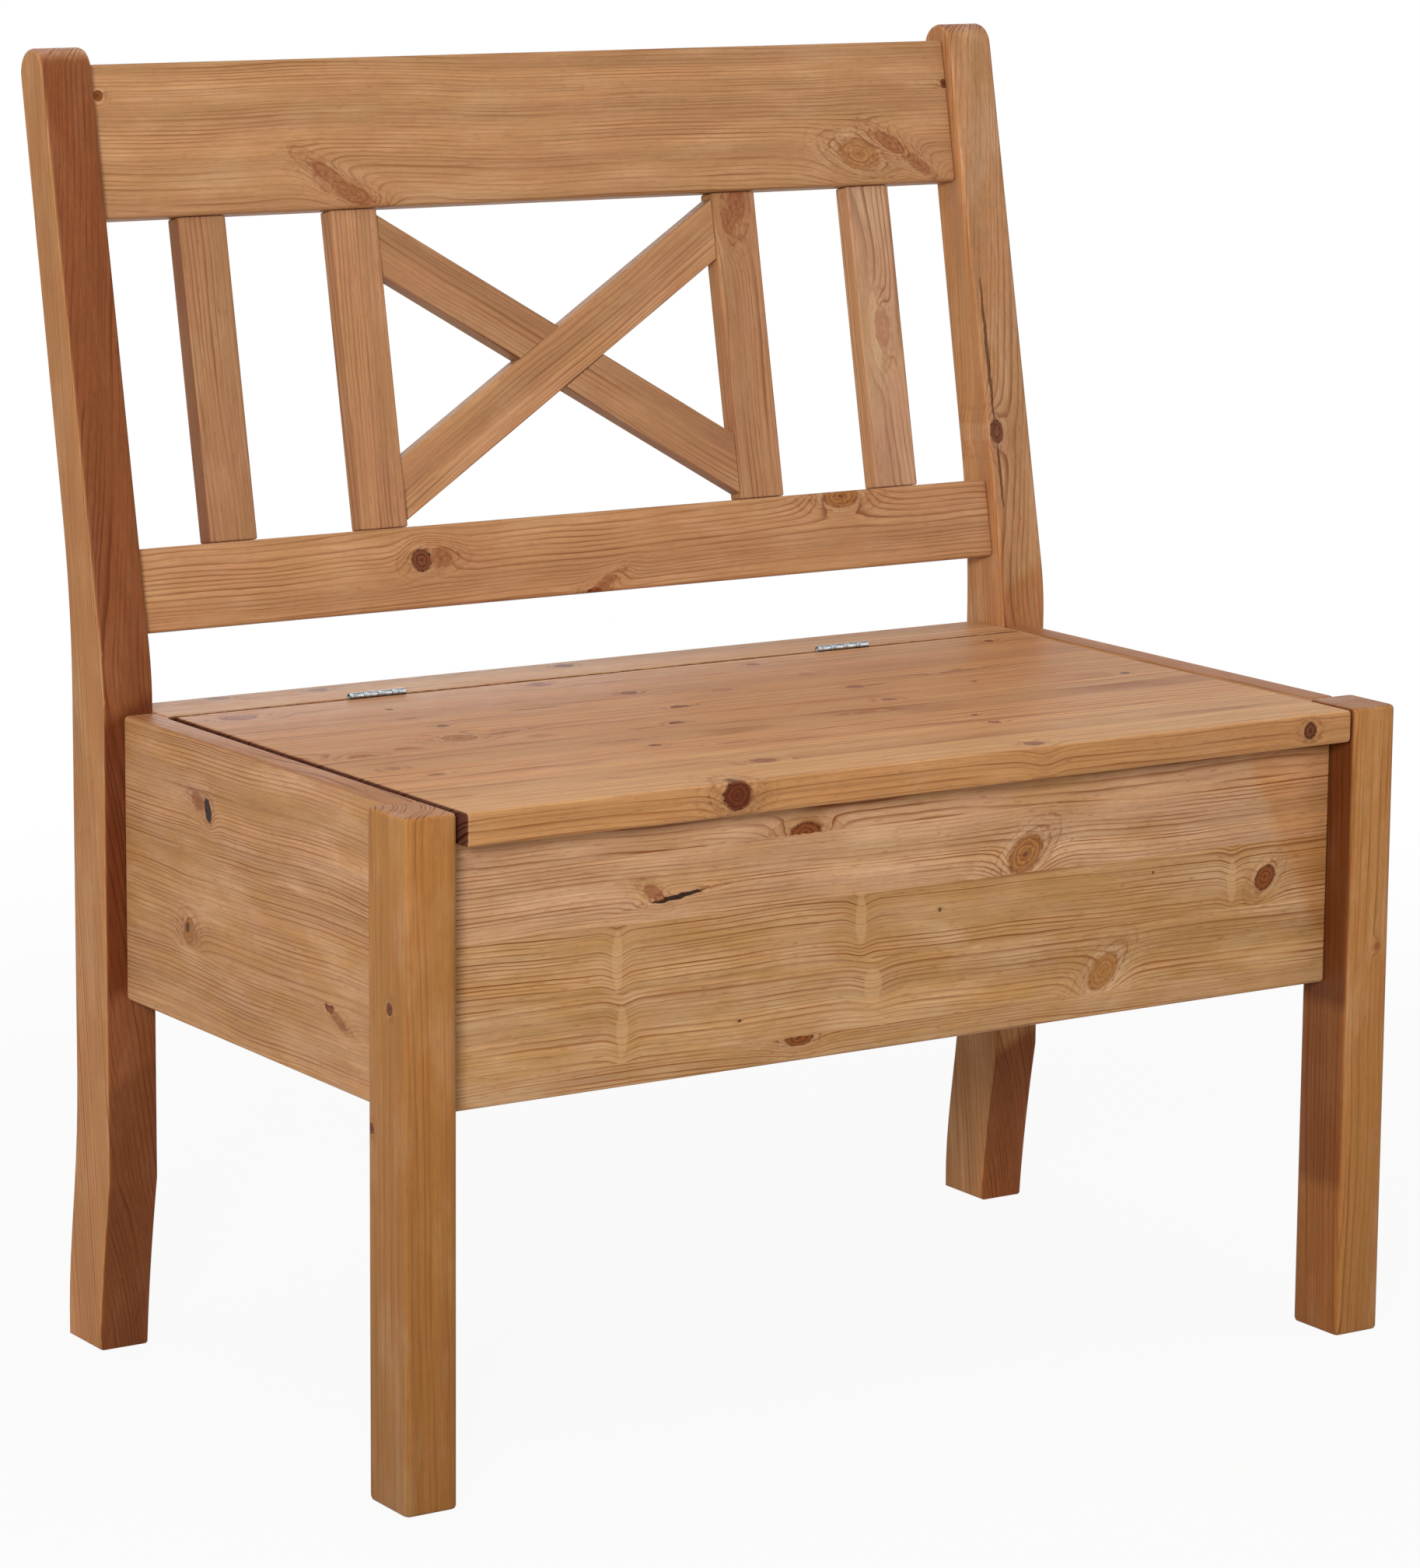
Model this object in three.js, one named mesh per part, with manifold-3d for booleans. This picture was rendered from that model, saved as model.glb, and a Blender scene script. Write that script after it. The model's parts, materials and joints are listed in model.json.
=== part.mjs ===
// Settle bench in stained pine: a storage seat on four legs, with a hinged lid and a raked, braced back.
// Millimetres, +Z up. X runs along the bench, the bench faces -Y, and left is -X.

import * as THREE from 'three';
import { mergeVertices } from 'three/addons/utils/BufferGeometryUtils.js';
import Module from 'manifold-3d';

const wasm = await Module();
wasm.setup();

// Overall sizes. Depths are measured back from the front face of the front legs.
const BENCH_WIDTH = 850;
const SEAT_HEIGHT = 482;

// Gap left in a glued or screwed joint, and the gap under a board that only rests
const JOINT_GAP = 0.3;
const REST_GAP = 0.4;
const CUT_OVERRUN = 4;

// Edges eased with sandpaper, and the softer arrises of the legs and posts
const BOARD_EASE = 2;
const LEG_EASE = 3;
const SLAT_EASE = 1.5;
const CLEAT_EASE = 1;
const CORNER_RADIUS_SHARE = 1.5;

// Front legs
const LEG_WIDTH = 41;
const LEG_DEPTH = 52;

// Rear posts: straight beside the seat, swept back below it and raked from a bend above it.
// The horn is what stands above the top rail.
const POST_WIDTH = LEG_WIDTH;
const POST_FRONT = 438;
const POST_DEPTH = 53;
const FOOT_SWEEP = 18.5;
const FOOT_DEPTH = 52;
const KNEE_HEIGHT = 132;
const REAR_SWEEP_HEIGHT = 207;
const RAKE_SLOPE = 0.2;
const REAR_RAKE_SLOPE = 0.185;
const FRONT_BEND_RISE = 28;
const FRONT_BEND_REACH = 22;
const REAR_BEND_RISE = 75;
const REAR_BEND_REACH = 66;
const POST_HORN = 10.1;

// Where the pulls of the foot's curves lie, along the sweep and up its height
const FRONT_PULL_SHARES = [0.75, 0.45];
const REAR_LOW_PULL_SHARES = [1.14, 0.34];
const REAR_HIGH_PULL_SHARE = 0.58;

// Chest panels, set in from the front face of the legs and the rear face of the posts
const PANEL_THICKNESS = 25;
const PANEL_BOTTOM = 270;
const FRONT_PANEL_SET = 25;
const BACK_PANEL_SET = 14;

// Lid, with the fixed board behind it that carries the hinges. The seam lies in front of the posts.
const LID_THICKNESS = 24;
const LID_OVERHANG = 4;
const LID_SIDE_GAP = 5;
const SEAM_SET = 22.5;
const SEAM_GAP = 1.5;

// Battens that keep the lid flat, each centred this far in from the lid's end
const BATTEN_WIDTH = 48;
const BATTEN_THICKNESS = 19;
const BATTEN_INSET = 94;
const BATTEN_END_SPACE = 28;

// Chest floor and the cleats that carry it
const FLOOR_THICKNESS = 10;
const FLOOR_SIDE_GAP = 1;
const CLEAT_SIZE = 20;
const CLEAT_LIFT = 5;

// Back rails, seen square on to the rake. The bottom rail's lower edge is this far above the seat.
const BOTTOM_RAIL_RISE = 58;
const BOTTOM_RAIL_WIDTH = 62;
const BACK_OPENING = 242;
const TOP_RAIL_WIDTH = 114;
const RAIL_THICKNESS = 25;
const RAIL_SET = 9.8;
const TENON_LENGTH = 22;
const TENON_THICKNESS = 11;
const TENON_SHOULDER = 11;

// Slats, placed by shares of the way from the middle to a post
const SLAT_WIDTH = 40;
const SLAT_THICKNESS = 18;
const SLAT_SET = 4;
const INNER_SLAT_SHARE = 0.445;
const OUTER_SLAT_SHARE = 0.78;
const STUB_LENGTH = 10;
const STUB_THICKNESS = 8;
const STUB_SHOULDER = 6;

// Crossed brace, halved over itself in the middle
const BRACE_WIDTH = 40;
const BRACE_THICKNESS = 15;
const BRACE_SET = 1.5;
const BRACE_CORNER_GAP = 5;

// Butt hinges, each centred this far in from the lid's end: the barrel stands on the seam and the
// leaves are let into its two edges
const HINGE_INSET = 169;
const HINGE_LENGTH = 48;
const KNUCKLE_COUNT = 4;
const KNUCKLE_GAP = 0.4;
const LEAF_THICKNESS = 1.2;
const LEAF_DROP = 19;
const PIN_RADIUS = 1.25;
const PIN_CLEARANCE = 0.3;
const PIN_LIFT = 1.6;
const PIN_END_RECESS = 0.8;
const BARREL_CLEARANCE = 0.5;

// Screws: flat countersunk heads
const HINGE_SCREW_SPREAD = 28;
const HINGE_SCREW_DROP = 12;
const HINGE_SCREW_LENGTH = 20;
const HINGE_SCREW_RADIUS = 1.4;
const HINGE_HEAD_RADIUS = 2.9;
const HINGE_HEAD_HEIGHT = 1.5;
const BATTEN_SCREW_LENGTH = 34;
const BATTEN_SCREW_RADIUS = 2;
const BATTEN_HEAD_RADIUS = 4;
const BATTEN_HEAD_HEIGHT = 2.4;
const BATTEN_SCREW_INSET = 40;
const SCREW_TIP_SHARE = 0.2;

// Dowels in the chest's corners, at shares of the way up from the panels' lower edge to the seat
const DOWEL_RADIUS = 4;
const DOWEL_LENGTH = 36;
const DOWEL_END_SPACE = 2;
const DOWEL_CHAMFER = 1;
const SIDE_DOWEL_SHARES = [0.255, 0.745];
const END_DOWEL_SHARES = [0.16, 0.65];

// Facets
const EASE_STEPS = 2;
const CORNER_STEPS = 1;
const SCREW_SIDES = 12;
const DOWEL_SIDES = 12;
const CURVE_STEPS = 10;
const KNUCKLE_STEPS = 8;

// Places worked out from the sizes above
const INNER_HALF = BENCH_WIDTH / 2 - LEG_WIDTH;
const LID_HALF = INNER_HALF - LID_SIDE_GAP;
const POST_REAR = POST_FRONT + POST_DEPTH;
const PANEL_INNER_FRONT = FRONT_PANEL_SET + PANEL_THICKNESS;
const BACK_PANEL_REAR = POST_REAR - BACK_PANEL_SET;
const PANEL_INNER_REAR = BACK_PANEL_REAR - PANEL_THICKNESS;
const CHEST_HEIGHT = SEAT_HEIGHT - PANEL_BOTTOM;
const LID_BOTTOM = SEAT_HEIGHT - LID_THICKNESS;
const SEAM_DEPTH = POST_FRONT - SEAM_SET;
const LID_REAR = SEAM_DEPTH - SEAM_GAP / 2;
const REAR_BOARD_FRONT = SEAM_DEPTH + SEAM_GAP / 2;
const PIN_HEIGHT = SEAT_HEIGHT + PIN_LIFT;
const BORE_RADIUS = PIN_RADIUS + PIN_CLEARANCE;
const KNUCKLE_RADIUS = BORE_RADIUS + LEAF_THICKNESS;
const HINGE_PLACE = LID_HALF - HINGE_INSET;
const BATTEN_PLACE = LID_HALF - BATTEN_INSET;
const FLOOR_BOTTOM = PANEL_BOTTOM + CLEAT_LIFT + CLEAT_SIZE + JOINT_GAP;

// The back, from the bends in the posts up to the top rail, measured up the rake from the bottom rail
const RAKE = Math.atan(RAKE_SLOPE);
const REAR_RAKE = Math.atan(REAR_RAKE_SLOPE);
const FRONT_BEND_HEIGHT = SEAT_HEIGHT + FRONT_BEND_RISE;
const REAR_BEND_HEIGHT = SEAT_HEIGHT + REAR_BEND_RISE;
const BOTTOM_RAIL_HEIGHT = SEAT_HEIGHT + BOTTOM_RAIL_RISE;
const OPENING_LOW = BOTTOM_RAIL_WIDTH;
const OPENING_HIGH = OPENING_LOW + BACK_OPENING;
const BACK_TOP = OPENING_HIGH + TOP_RAIL_WIDTH;
const BACK_HEIGHT = BOTTOM_RAIL_HEIGHT + BACK_TOP * Math.cos(RAKE) + POST_HORN;
const INNER_SLAT_PLACE = INNER_SLAT_SHARE * INNER_HALF;
const OUTER_SLAT_PLACE = OUTER_SLAT_SHARE * INNER_HALF;

const SIDES = [
  { side: -1, hand: 'left' },
  { side: 1, hand: 'right' },
];

const X_AXIS = new THREE.Vector3(1, 0, 0);
const Y_AXIS = new THREE.Vector3(0, 1, 0);
const Z_AXIS = new THREE.Vector3(0, 0, 1);

// For each grain direction: the axes across the section, up the section and along the board
const GRAIN_AXES = {
  x: ['y', 'z', 'x'],
  y: ['z', 'x', 'y'],
  z: ['x', 'y', 'z'],
};
const AXES = { x: X_AXIS, y: Y_AXIS, z: Z_AXIS };

const PINE = { color: 0xb5814c, roughness: 0.48, metalness: 0 };
const PINE_DARK = { color: 0xa06a3c, roughness: 0.5, metalness: 0 };
const PINE_INSIDE = { color: 0xbd9058, roughness: 0.62, metalness: 0 };
const BEECH = { color: 0xcbab80, roughness: 0.7, metalness: 0 };
const ZINC = { color: 0xb4bac0, roughness: 0.32, metalness: 1 };

// Boolean joins and cuts

function toSolid(geometry) {
  const bare = geometry.clone();
  bare.deleteAttribute('normal');
  bare.deleteAttribute('uv');
  const merged = mergeVertices(bare);
  const mesh = new wasm.Mesh({
    numProp: 3,
    vertProperties: merged.attributes.position.array,
    triVerts: Uint32Array.from(merged.index.array),
  });
  return new wasm.Manifold(mesh);
}

function toGeometry(solid) {
  const mesh = solid.getMesh();
  const geometry = new THREE.BufferGeometry();
  geometry.setAttribute('position', new THREE.BufferAttribute(mesh.vertProperties, 3));
  geometry.setIndex(new THREE.BufferAttribute(mesh.triVerts, 1));
  return geometry;
}

function joined(geometry, additions) {
  let solid = toSolid(geometry);
  for (const addition of additions) {
    solid = solid.add(toSolid(addition));
  }
  return toGeometry(solid);
}

function cut(geometry, cutters) {
  let solid = toSolid(geometry);
  for (const cutter of cutters) {
    solid = solid.subtract(toSolid(cutter));
  }
  return toGeometry(solid);
}

// Limits of a piece, as lowest and highest values

function span([low, high]) {
  return high - low;
}

function middle([low, high]) {
  return (low + high) / 2;
}

function around(centre, size) {
  return [centre - size / 2, centre + size / 2];
}

function onSide([low, high], side) {
  return side < 0 ? [-high, -low] : [low, high];
}

// Basic shapes, made where they lie

function block({ x, y, z }) {
  const geometry = new THREE.BoxGeometry(span(x), span(y), span(z));
  return geometry.translate(middle(x), middle(y), middle(z));
}

function roundedRectangle(width, height, radius) {
  const shape = new THREE.Shape();
  const x = width / 2 - radius;
  const y = height / 2 - radius;
  const quarter = Math.PI / 2;
  shape.absarc(x, -y, radius, -quarter, 0);
  shape.absarc(x, y, radius, 0, quarter);
  shape.absarc(-x, y, radius, quarter, 2 * quarter);
  shape.absarc(-x, -y, radius, 2 * quarter, 3 * quarter);
  return shape;
}

// An outline given depth, with every edge of its two faces eased
function easedExtrusion(shape, depth, ease, curveSegments) {
  const geometry = new THREE.ExtrudeGeometry(shape, {
    depth: depth - 2 * ease,
    bevelThickness: ease,
    bevelSize: ease,
    bevelOffset: -ease,
    bevelSegments: EASE_STEPS,
    curveSegments,
  });
  return geometry.translate(0, 0, ease - depth / 2);
}

// A board that fills its limits, with its grain along one axis and all edges eased
function board(limits, grain, ease = BOARD_EASE) {
  const [across, up, along] = GRAIN_AXES[grain];
  const section = roundedRectangle(span(limits[across]), span(limits[up]), ease * CORNER_RADIUS_SHARE);
  const geometry = easedExtrusion(section, span(limits[along]), ease, CORNER_STEPS);
  geometry.applyMatrix4(new THREE.Matrix4().makeBasis(AXES[across], AXES[up], AXES[along]));
  return geometry.translate(middle(limits.x), middle(limits.y), middle(limits.z));
}

// A revolved piece: its profile runs along the given direction from its seat point
function turned(profile, sides, direction, seat) {
  const points = profile.map(([radius, along]) => new THREE.Vector2(radius, along));
  const geometry = new THREE.LatheGeometry(points, sides);
  const turn = new THREE.Quaternion().setFromUnitVectors(Y_AXIS, direction);
  return geometry.applyQuaternion(turn).translate(seat.x, seat.y, seat.z);
}

function addPiece(parent, name, geometry, finish) {
  const shown = geometry.index ? geometry.toNonIndexed() : geometry;
  shown.computeVertexNormals();
  shown.computeBoundingBox();
  const centre = shown.boundingBox.getCenter(new THREE.Vector3());
  shown.translate(-centre.x, -centre.y, -centre.z);
  const mesh = new THREE.Mesh(shown, new THREE.MeshStandardMaterial(finish));
  mesh.name = name;
  mesh.position.copy(centre);
  parent.add(mesh);
}

// Dowels: a chamfered rod half in each of two pieces, and the hole that it leaves in both

function dowelProfile(radius, length, chamfer) {
  const end = length / 2;
  return [
    [0, -end],
    [radius - chamfer, -end],
    [radius, chamfer - end],
    [radius, end - chamfer],
    [radius - chamfer, end],
    [0, end],
  ];
}

function dowel({ axis, place }) {
  return turned(dowelProfile(DOWEL_RADIUS, DOWEL_LENGTH, DOWEL_CHAMFER), DOWEL_SIDES, axis, place);
}

function dowelHole({ axis, place }) {
  const length = DOWEL_LENGTH + 2 * DOWEL_END_SPACE;
  return turned(dowelProfile(DOWEL_RADIUS + JOINT_GAP, length, DOWEL_CHAMFER), DOWEL_SIDES, axis, place);
}

// Screws: the profile runs from the head's face back along the shank

function screwProfile(length, radius, headRadius, headHeight, gap) {
  const tip = length * SCREW_TIP_SHARE;
  return [
    [0, -length - gap],
    [radius + gap, tip - length],
    [radius + gap, -headHeight],
    [headRadius + gap, 0],
    [0, 0],
  ];
}

function screw({ axis, place, size }) {
  const profile = screwProfile(size.length, size.radius, size.headRadius, size.headHeight, 0);
  return turned(profile, SCREW_SIDES, axis, place);
}

// The clearance hole runs on past the head's face, so that the cut breaks through
function screwHole({ axis, place, size }) {
  const { length, radius, headRadius, headHeight } = size;
  const profile = screwProfile(length, radius, headRadius, headHeight, JOINT_GAP);
  const mouth = [headRadius + JOINT_GAP, CUT_OVERRUN];
  profile.splice(profile.length - 1, 1, mouth, [0, CUT_OVERRUN]);
  return turned(profile, SCREW_SIDES, axis, place);
}

const HINGE_SCREW = {
  length: HINGE_SCREW_LENGTH,
  radius: HINGE_SCREW_RADIUS,
  headRadius: HINGE_HEAD_RADIUS,
  headHeight: HINGE_HEAD_HEIGHT,
};
const BATTEN_SCREW = {
  length: BATTEN_SCREW_LENGTH,
  radius: BATTEN_SCREW_RADIUS,
  headRadius: BATTEN_HEAD_RADIUS,
  headHeight: BATTEN_HEAD_HEIGHT,
};

// Where the dowels of one end of the bench lie

function cornerDowels(side) {
  const panelMiddle = side * (INNER_HALF + PANEL_THICKNESS / 2);
  const innerFace = side * INNER_HALF;
  const frontMiddle = FRONT_PANEL_SET + PANEL_THICKNESS / 2;
  const backMiddle = BACK_PANEL_REAR - PANEL_THICKNESS / 2;
  const along = (places, shares, axis, name) => shares.map((share, index) => ({
    name: `${name}_${index + 1}`,
    axis,
    place: new THREE.Vector3(places[0], places[1], PANEL_BOTTOM + share * CHEST_HEIGHT),
  }));
  return {
    sideFront: along([panelMiddle, LEG_DEPTH], SIDE_DOWEL_SHARES, Y_AXIS, 'side_panel_front'),
    sideRear: along([panelMiddle, POST_FRONT], SIDE_DOWEL_SHARES, Y_AXIS, 'side_panel_rear'),
    front: along([innerFace, frontMiddle], END_DOWEL_SHARES, X_AXIS, 'front_panel'),
    back: along([innerFace, backMiddle], END_DOWEL_SHARES, X_AXIS, 'back_panel'),
  };
}

// The raked back has a frame of its own: X along the bench, Y through the rails and Z up the rake

const backOrigin = new THREE.Vector3(
  0,
  POST_FRONT + (BOTTOM_RAIL_HEIGHT - FRONT_BEND_HEIGHT) * RAKE_SLOPE,
  BOTTOM_RAIL_HEIGHT,
);
const backMatrix = new THREE.Matrix4().makeRotationX(-RAKE).setPosition(backOrigin);

const RAIL_Y = [RAIL_SET, RAIL_SET + RAIL_THICKNESS];
const SLAT_Y = [RAIL_SET + SLAT_SET, RAIL_SET + SLAT_SET + SLAT_THICKNESS];
const BRACE_Y = [SLAT_Y[0] + BRACE_SET, SLAT_Y[0] + BRACE_SET + BRACE_THICKNESS];
const BOTTOM_RAIL_Z = [0, BOTTOM_RAIL_WIDTH];
const TOP_RAIL_Z = [OPENING_HIGH, BACK_TOP];

// A rail's tenons as one bar through the whole rail, or the mortises that take them
function railTenon([low, high], gap) {
  return block({
    x: around(0, 2 * (INNER_HALF + TENON_LENGTH + gap)),
    y: around(middle(RAIL_Y), TENON_THICKNESS + 2 * gap),
    z: [low + TENON_SHOULDER - gap, high - TENON_SHOULDER + gap],
  });
}

// A slat's stub tenons as one bar through the whole slat, or the mortises that take them
function slatStub(place, gap) {
  return block({
    x: around(place, SLAT_WIDTH - 2 * STUB_SHOULDER + 2 * gap),
    y: around(middle(SLAT_Y), STUB_THICKNESS + 2 * gap),
    z: [OPENING_LOW - STUB_LENGTH - gap, OPENING_HIGH + STUB_LENGTH + gap],
  });
}

const SLATS = [
  { name: 'slat_outer_left', place: -OUTER_SLAT_PLACE },
  { name: 'slat_inner_left', place: -INNER_SLAT_PLACE },
  { name: 'slat_inner_right', place: INNER_SLAT_PLACE },
  { name: 'slat_outer_right', place: OUTER_SLAT_PLACE },
];

function railGeometry(height) {
  const body = board({ x: around(0, 2 * (INNER_HALF - JOINT_GAP)), y: RAIL_Y, z: height }, 'x');
  const mortises = SLATS.map(({ place }) => slatStub(place, JOINT_GAP));
  return cut(joined(body, [railTenon(height, 0)]), mortises);
}

function slatGeometry(place) {
  const body = board({
    x: around(place, SLAT_WIDTH),
    y: SLAT_Y,
    z: [OPENING_LOW + JOINT_GAP, OPENING_HIGH - JOINT_GAP],
  }, 'z', SLAT_EASE);
  return joined(body, [slatStub(place, 0)]);
}

// Half the clear width between the inner slats, which the brace fills from corner to corner
const BRACE_REACH = INNER_SLAT_PLACE - SLAT_WIDTH / 2 - JOINT_GAP;

// The slope at which a brace's corners come as near to the rails as the corner gap says
function braceAngle() {
  const rise = BACK_OPENING / 2 - BRACE_CORNER_GAP;
  const diagonal = Math.hypot(BRACE_REACH, rise);
  return Math.acos(BRACE_WIDTH / 2 / diagonal) - Math.atan2(BRACE_REACH, rise);
}

// One diagonal seen from the front, rising to the right where rise is 1 and falling where it is -1
function braceOutline(rise, reach, margin) {
  const angle = braceAngle();
  const slope = rise * Math.tan(angle);
  const half = (BRACE_WIDTH / 2 + margin) / Math.cos(angle);
  const centre = middle([OPENING_LOW, OPENING_HIGH]);
  return new THREE.Shape([
    new THREE.Vector2(-reach, centre - slope * reach - half),
    new THREE.Vector2(reach, centre + slope * reach - half),
    new THREE.Vector2(reach, centre + slope * reach + half),
    new THREE.Vector2(-reach, centre - slope * reach + half),
  ]);
}

function facingFront(geometry, depth) {
  geometry.applyMatrix4(new THREE.Matrix4().makeBasis(X_AXIS, Z_AXIS, Y_AXIS.clone().negate()));
  return geometry.translate(0, depth, 0);
}

function braceGeometry(rise) {
  const whole = easedExtrusion(braceOutline(rise, BRACE_REACH, 0), BRACE_THICKNESS, SLAT_EASE, 1);
  const crossing = new THREE.ExtrudeGeometry(braceOutline(-rise, BRACE_REACH, JOINT_GAP), {
    depth: BRACE_THICKNESS,
    bevelEnabled: false,
  });
  crossing.translate(0, 0, -BRACE_THICKNESS / 2);
  // The rising brace keeps its front half at the crossing, the falling one its rear half
  const halving = rise * (BRACE_THICKNESS / 2 - JOINT_GAP / 2);
  const depth = middle(BRACE_Y);
  return cut(facingFront(whole, depth), [facingFront(crossing, depth + halving)]);
}

// Rear posts

function backTopArc() {
  const front = (height) => POST_FRONT + (height - FRONT_BEND_HEIGHT) * RAKE_SLOPE;
  const rear = (height) => POST_REAR + (height - REAR_BEND_HEIGHT) * REAR_RAKE_SLOPE;
  const taper = RAKE_SLOPE - REAR_RAKE_SLOPE;
  const fit = 1 / (1 / Math.cos(RAKE) + 1 / Math.cos(REAR_RAKE));
  const radius = fit * (rear(BACK_HEIGHT) - front(BACK_HEIGHT)) / (1 - taper * fit);
  const height = BACK_HEIGHT - radius;
  return { depth: front(height) + radius / Math.cos(RAKE), height, radius };
}

// Side view of a post, drawn as depth and height, round from the foot's front corner
function postOutline() {
  const footFront = POST_FRONT + FOOT_SWEEP;
  const footRear = footFront + FOOT_DEPTH;
  const rearSweep = footRear - POST_REAR;
  const top = backTopArc();
  const shape = new THREE.Shape();
  shape.moveTo(footFront, 0);
  shape.lineTo(footRear, 0);
  shape.bezierCurveTo(
    POST_REAR + rearSweep * REAR_LOW_PULL_SHARES[0], REAR_SWEEP_HEIGHT * REAR_LOW_PULL_SHARES[1],
    POST_REAR, REAR_SWEEP_HEIGHT * REAR_HIGH_PULL_SHARE,
    POST_REAR, REAR_SWEEP_HEIGHT,
  );
  shape.lineTo(POST_REAR, REAR_BEND_HEIGHT - REAR_BEND_REACH);
  shape.quadraticCurveTo(
    POST_REAR, REAR_BEND_HEIGHT,
    POST_REAR + REAR_BEND_REACH * REAR_RAKE_SLOPE, REAR_BEND_HEIGHT + REAR_BEND_REACH,
  );
  shape.absarc(top.depth, top.height, top.radius, -REAR_RAKE, Math.PI - RAKE);
  shape.lineTo(POST_FRONT + FRONT_BEND_REACH * RAKE_SLOPE, FRONT_BEND_HEIGHT + FRONT_BEND_REACH);
  shape.quadraticCurveTo(POST_FRONT, FRONT_BEND_HEIGHT, POST_FRONT, FRONT_BEND_HEIGHT - FRONT_BEND_REACH);
  shape.lineTo(POST_FRONT, KNEE_HEIGHT);
  shape.quadraticCurveTo(
    POST_FRONT + FOOT_SWEEP * FRONT_PULL_SHARES[0], KNEE_HEIGHT * FRONT_PULL_SHARES[1],
    footFront, 0,
  );
  return shape;
}

function postGeometry(side, dowels) {
  const geometry = easedExtrusion(postOutline(), POST_WIDTH, LEG_EASE, CURVE_STEPS);
  geometry.applyMatrix4(new THREE.Matrix4().makeBasis(Y_AXIS, Z_AXIS, X_AXIS));
  geometry.translate(side * (INNER_HALF + POST_WIDTH / 2), 0, 0);
  const mortises = [BOTTOM_RAIL_Z, TOP_RAIL_Z].map((height) => railTenon(height, JOINT_GAP));
  mortises.forEach((mortise) => mortise.applyMatrix4(backMatrix));
  const holes = [...dowels.sideRear, ...dowels.back].map(dowelHole);
  return cut(geometry, [...mortises, ...holes]);
}

// Hinges

const KNUCKLE_PITCH = HINGE_LENGTH / KNUCKLE_COUNT;

function knuckle(centre) {
  const ring = new THREE.Shape();
  ring.absarc(0, 0, KNUCKLE_RADIUS, 0, 2 * Math.PI);
  const bore = new THREE.Path();
  bore.absarc(0, 0, BORE_RADIUS, 0, 2 * Math.PI);
  ring.holes.push(bore);
  const length = KNUCKLE_PITCH - KNUCKLE_GAP;
  const geometry = new THREE.ExtrudeGeometry(ring, {
    depth: length,
    bevelEnabled: false,
    curveSegments: KNUCKLE_STEPS,
  });
  geometry.translate(0, 0, -length / 2);
  geometry.applyMatrix4(new THREE.Matrix4().makeBasis(Y_AXIS, Z_AXIS, X_AXIS));
  return geometry.translate(centre, SEAM_DEPTH, PIN_HEIGHT);
}

// A leaf's two faces in depth: rear is 1 for the fixed leaf and -1 for the one on the lid
function leafDepths(rear) {
  return onSide([SEAM_GAP / 2, SEAM_GAP / 2 + LEAF_THICKNESS], rear).map((depth) => SEAM_DEPTH + depth);
}

function hingeScrews(place, rear) {
  return [-1, 1].map((end) => ({
    axis: Y_AXIS.clone().multiplyScalar(-rear),
    place: new THREE.Vector3(
      place + end * HINGE_SCREW_SPREAD / 2,
      SEAM_DEPTH + rear * SEAM_GAP / 2,
      PIN_HEIGHT - HINGE_SCREW_DROP,
    ),
    size: HINGE_SCREW,
  }));
}

function leafGeometry(place, rear) {
  const depths = leafDepths(rear);
  const plate = block({
    x: around(place, HINGE_LENGTH),
    y: depths,
    z: [PIN_HEIGHT - LEAF_DROP, PIN_HEIGHT - KNUCKLE_RADIUS - PIN_CLEARANCE],
  });
  const additions = [];
  const first = rear > 0 ? 1 : 0;
  for (let index = first; index < KNUCKLE_COUNT; index += 2) {
    const centre = place + (index + 0.5) * KNUCKLE_PITCH - HINGE_LENGTH / 2;
    additions.push(knuckle(centre));
    additions.push(block({
      x: around(centre, KNUCKLE_PITCH - KNUCKLE_GAP),
      y: depths,
      z: [PIN_HEIGHT - LEAF_DROP, PIN_HEIGHT - middle([BORE_RADIUS, KNUCKLE_RADIUS])],
    }));
  }
  return cut(joined(plate, additions), hingeScrews(place, rear).map(screwHole));
}

// The bed cut into a board's edge for one leaf, and the hollow above it that clears the barrel
function hingeBeds(place, rear) {
  const bedX = around(place, HINGE_LENGTH + 2 * BARREL_CLEARANCE);
  const face = SEAM_GAP / 2 - CUT_OVERRUN;
  const bed = onSide([face, SEAM_GAP / 2 + LEAF_THICKNESS + JOINT_GAP], rear);
  const hollow = onSide([face, KNUCKLE_RADIUS + BARREL_CLEARANCE], rear);
  const top = PIN_HEIGHT + CUT_OVERRUN;
  return [
    block({
      x: bedX,
      y: bed.map((depth) => SEAM_DEPTH + depth),
      z: [PIN_HEIGHT - LEAF_DROP - BARREL_CLEARANCE, top],
    }),
    block({
      x: bedX,
      y: hollow.map((depth) => SEAM_DEPTH + depth),
      z: [PIN_HEIGHT - KNUCKLE_RADIUS - BARREL_CLEARANCE, top],
    }),
  ];
}

function hingeCuts(rear) {
  return SIDES.flatMap(({ side }) => [
    ...hingeBeds(side * HINGE_PLACE, rear),
    ...hingeScrews(side * HINGE_PLACE, rear).map(screwHole),
  ]);
}

function pinGeometry(place) {
  const length = HINGE_LENGTH - 2 * PIN_END_RECESS;
  const pin = new THREE.CylinderGeometry(PIN_RADIUS, PIN_RADIUS, length, 2 * SCREW_SIDES);
  return pin.rotateZ(Math.PI / 2).translate(place, SEAM_DEPTH, PIN_HEIGHT);
}

// Lid battens and their screws

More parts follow.
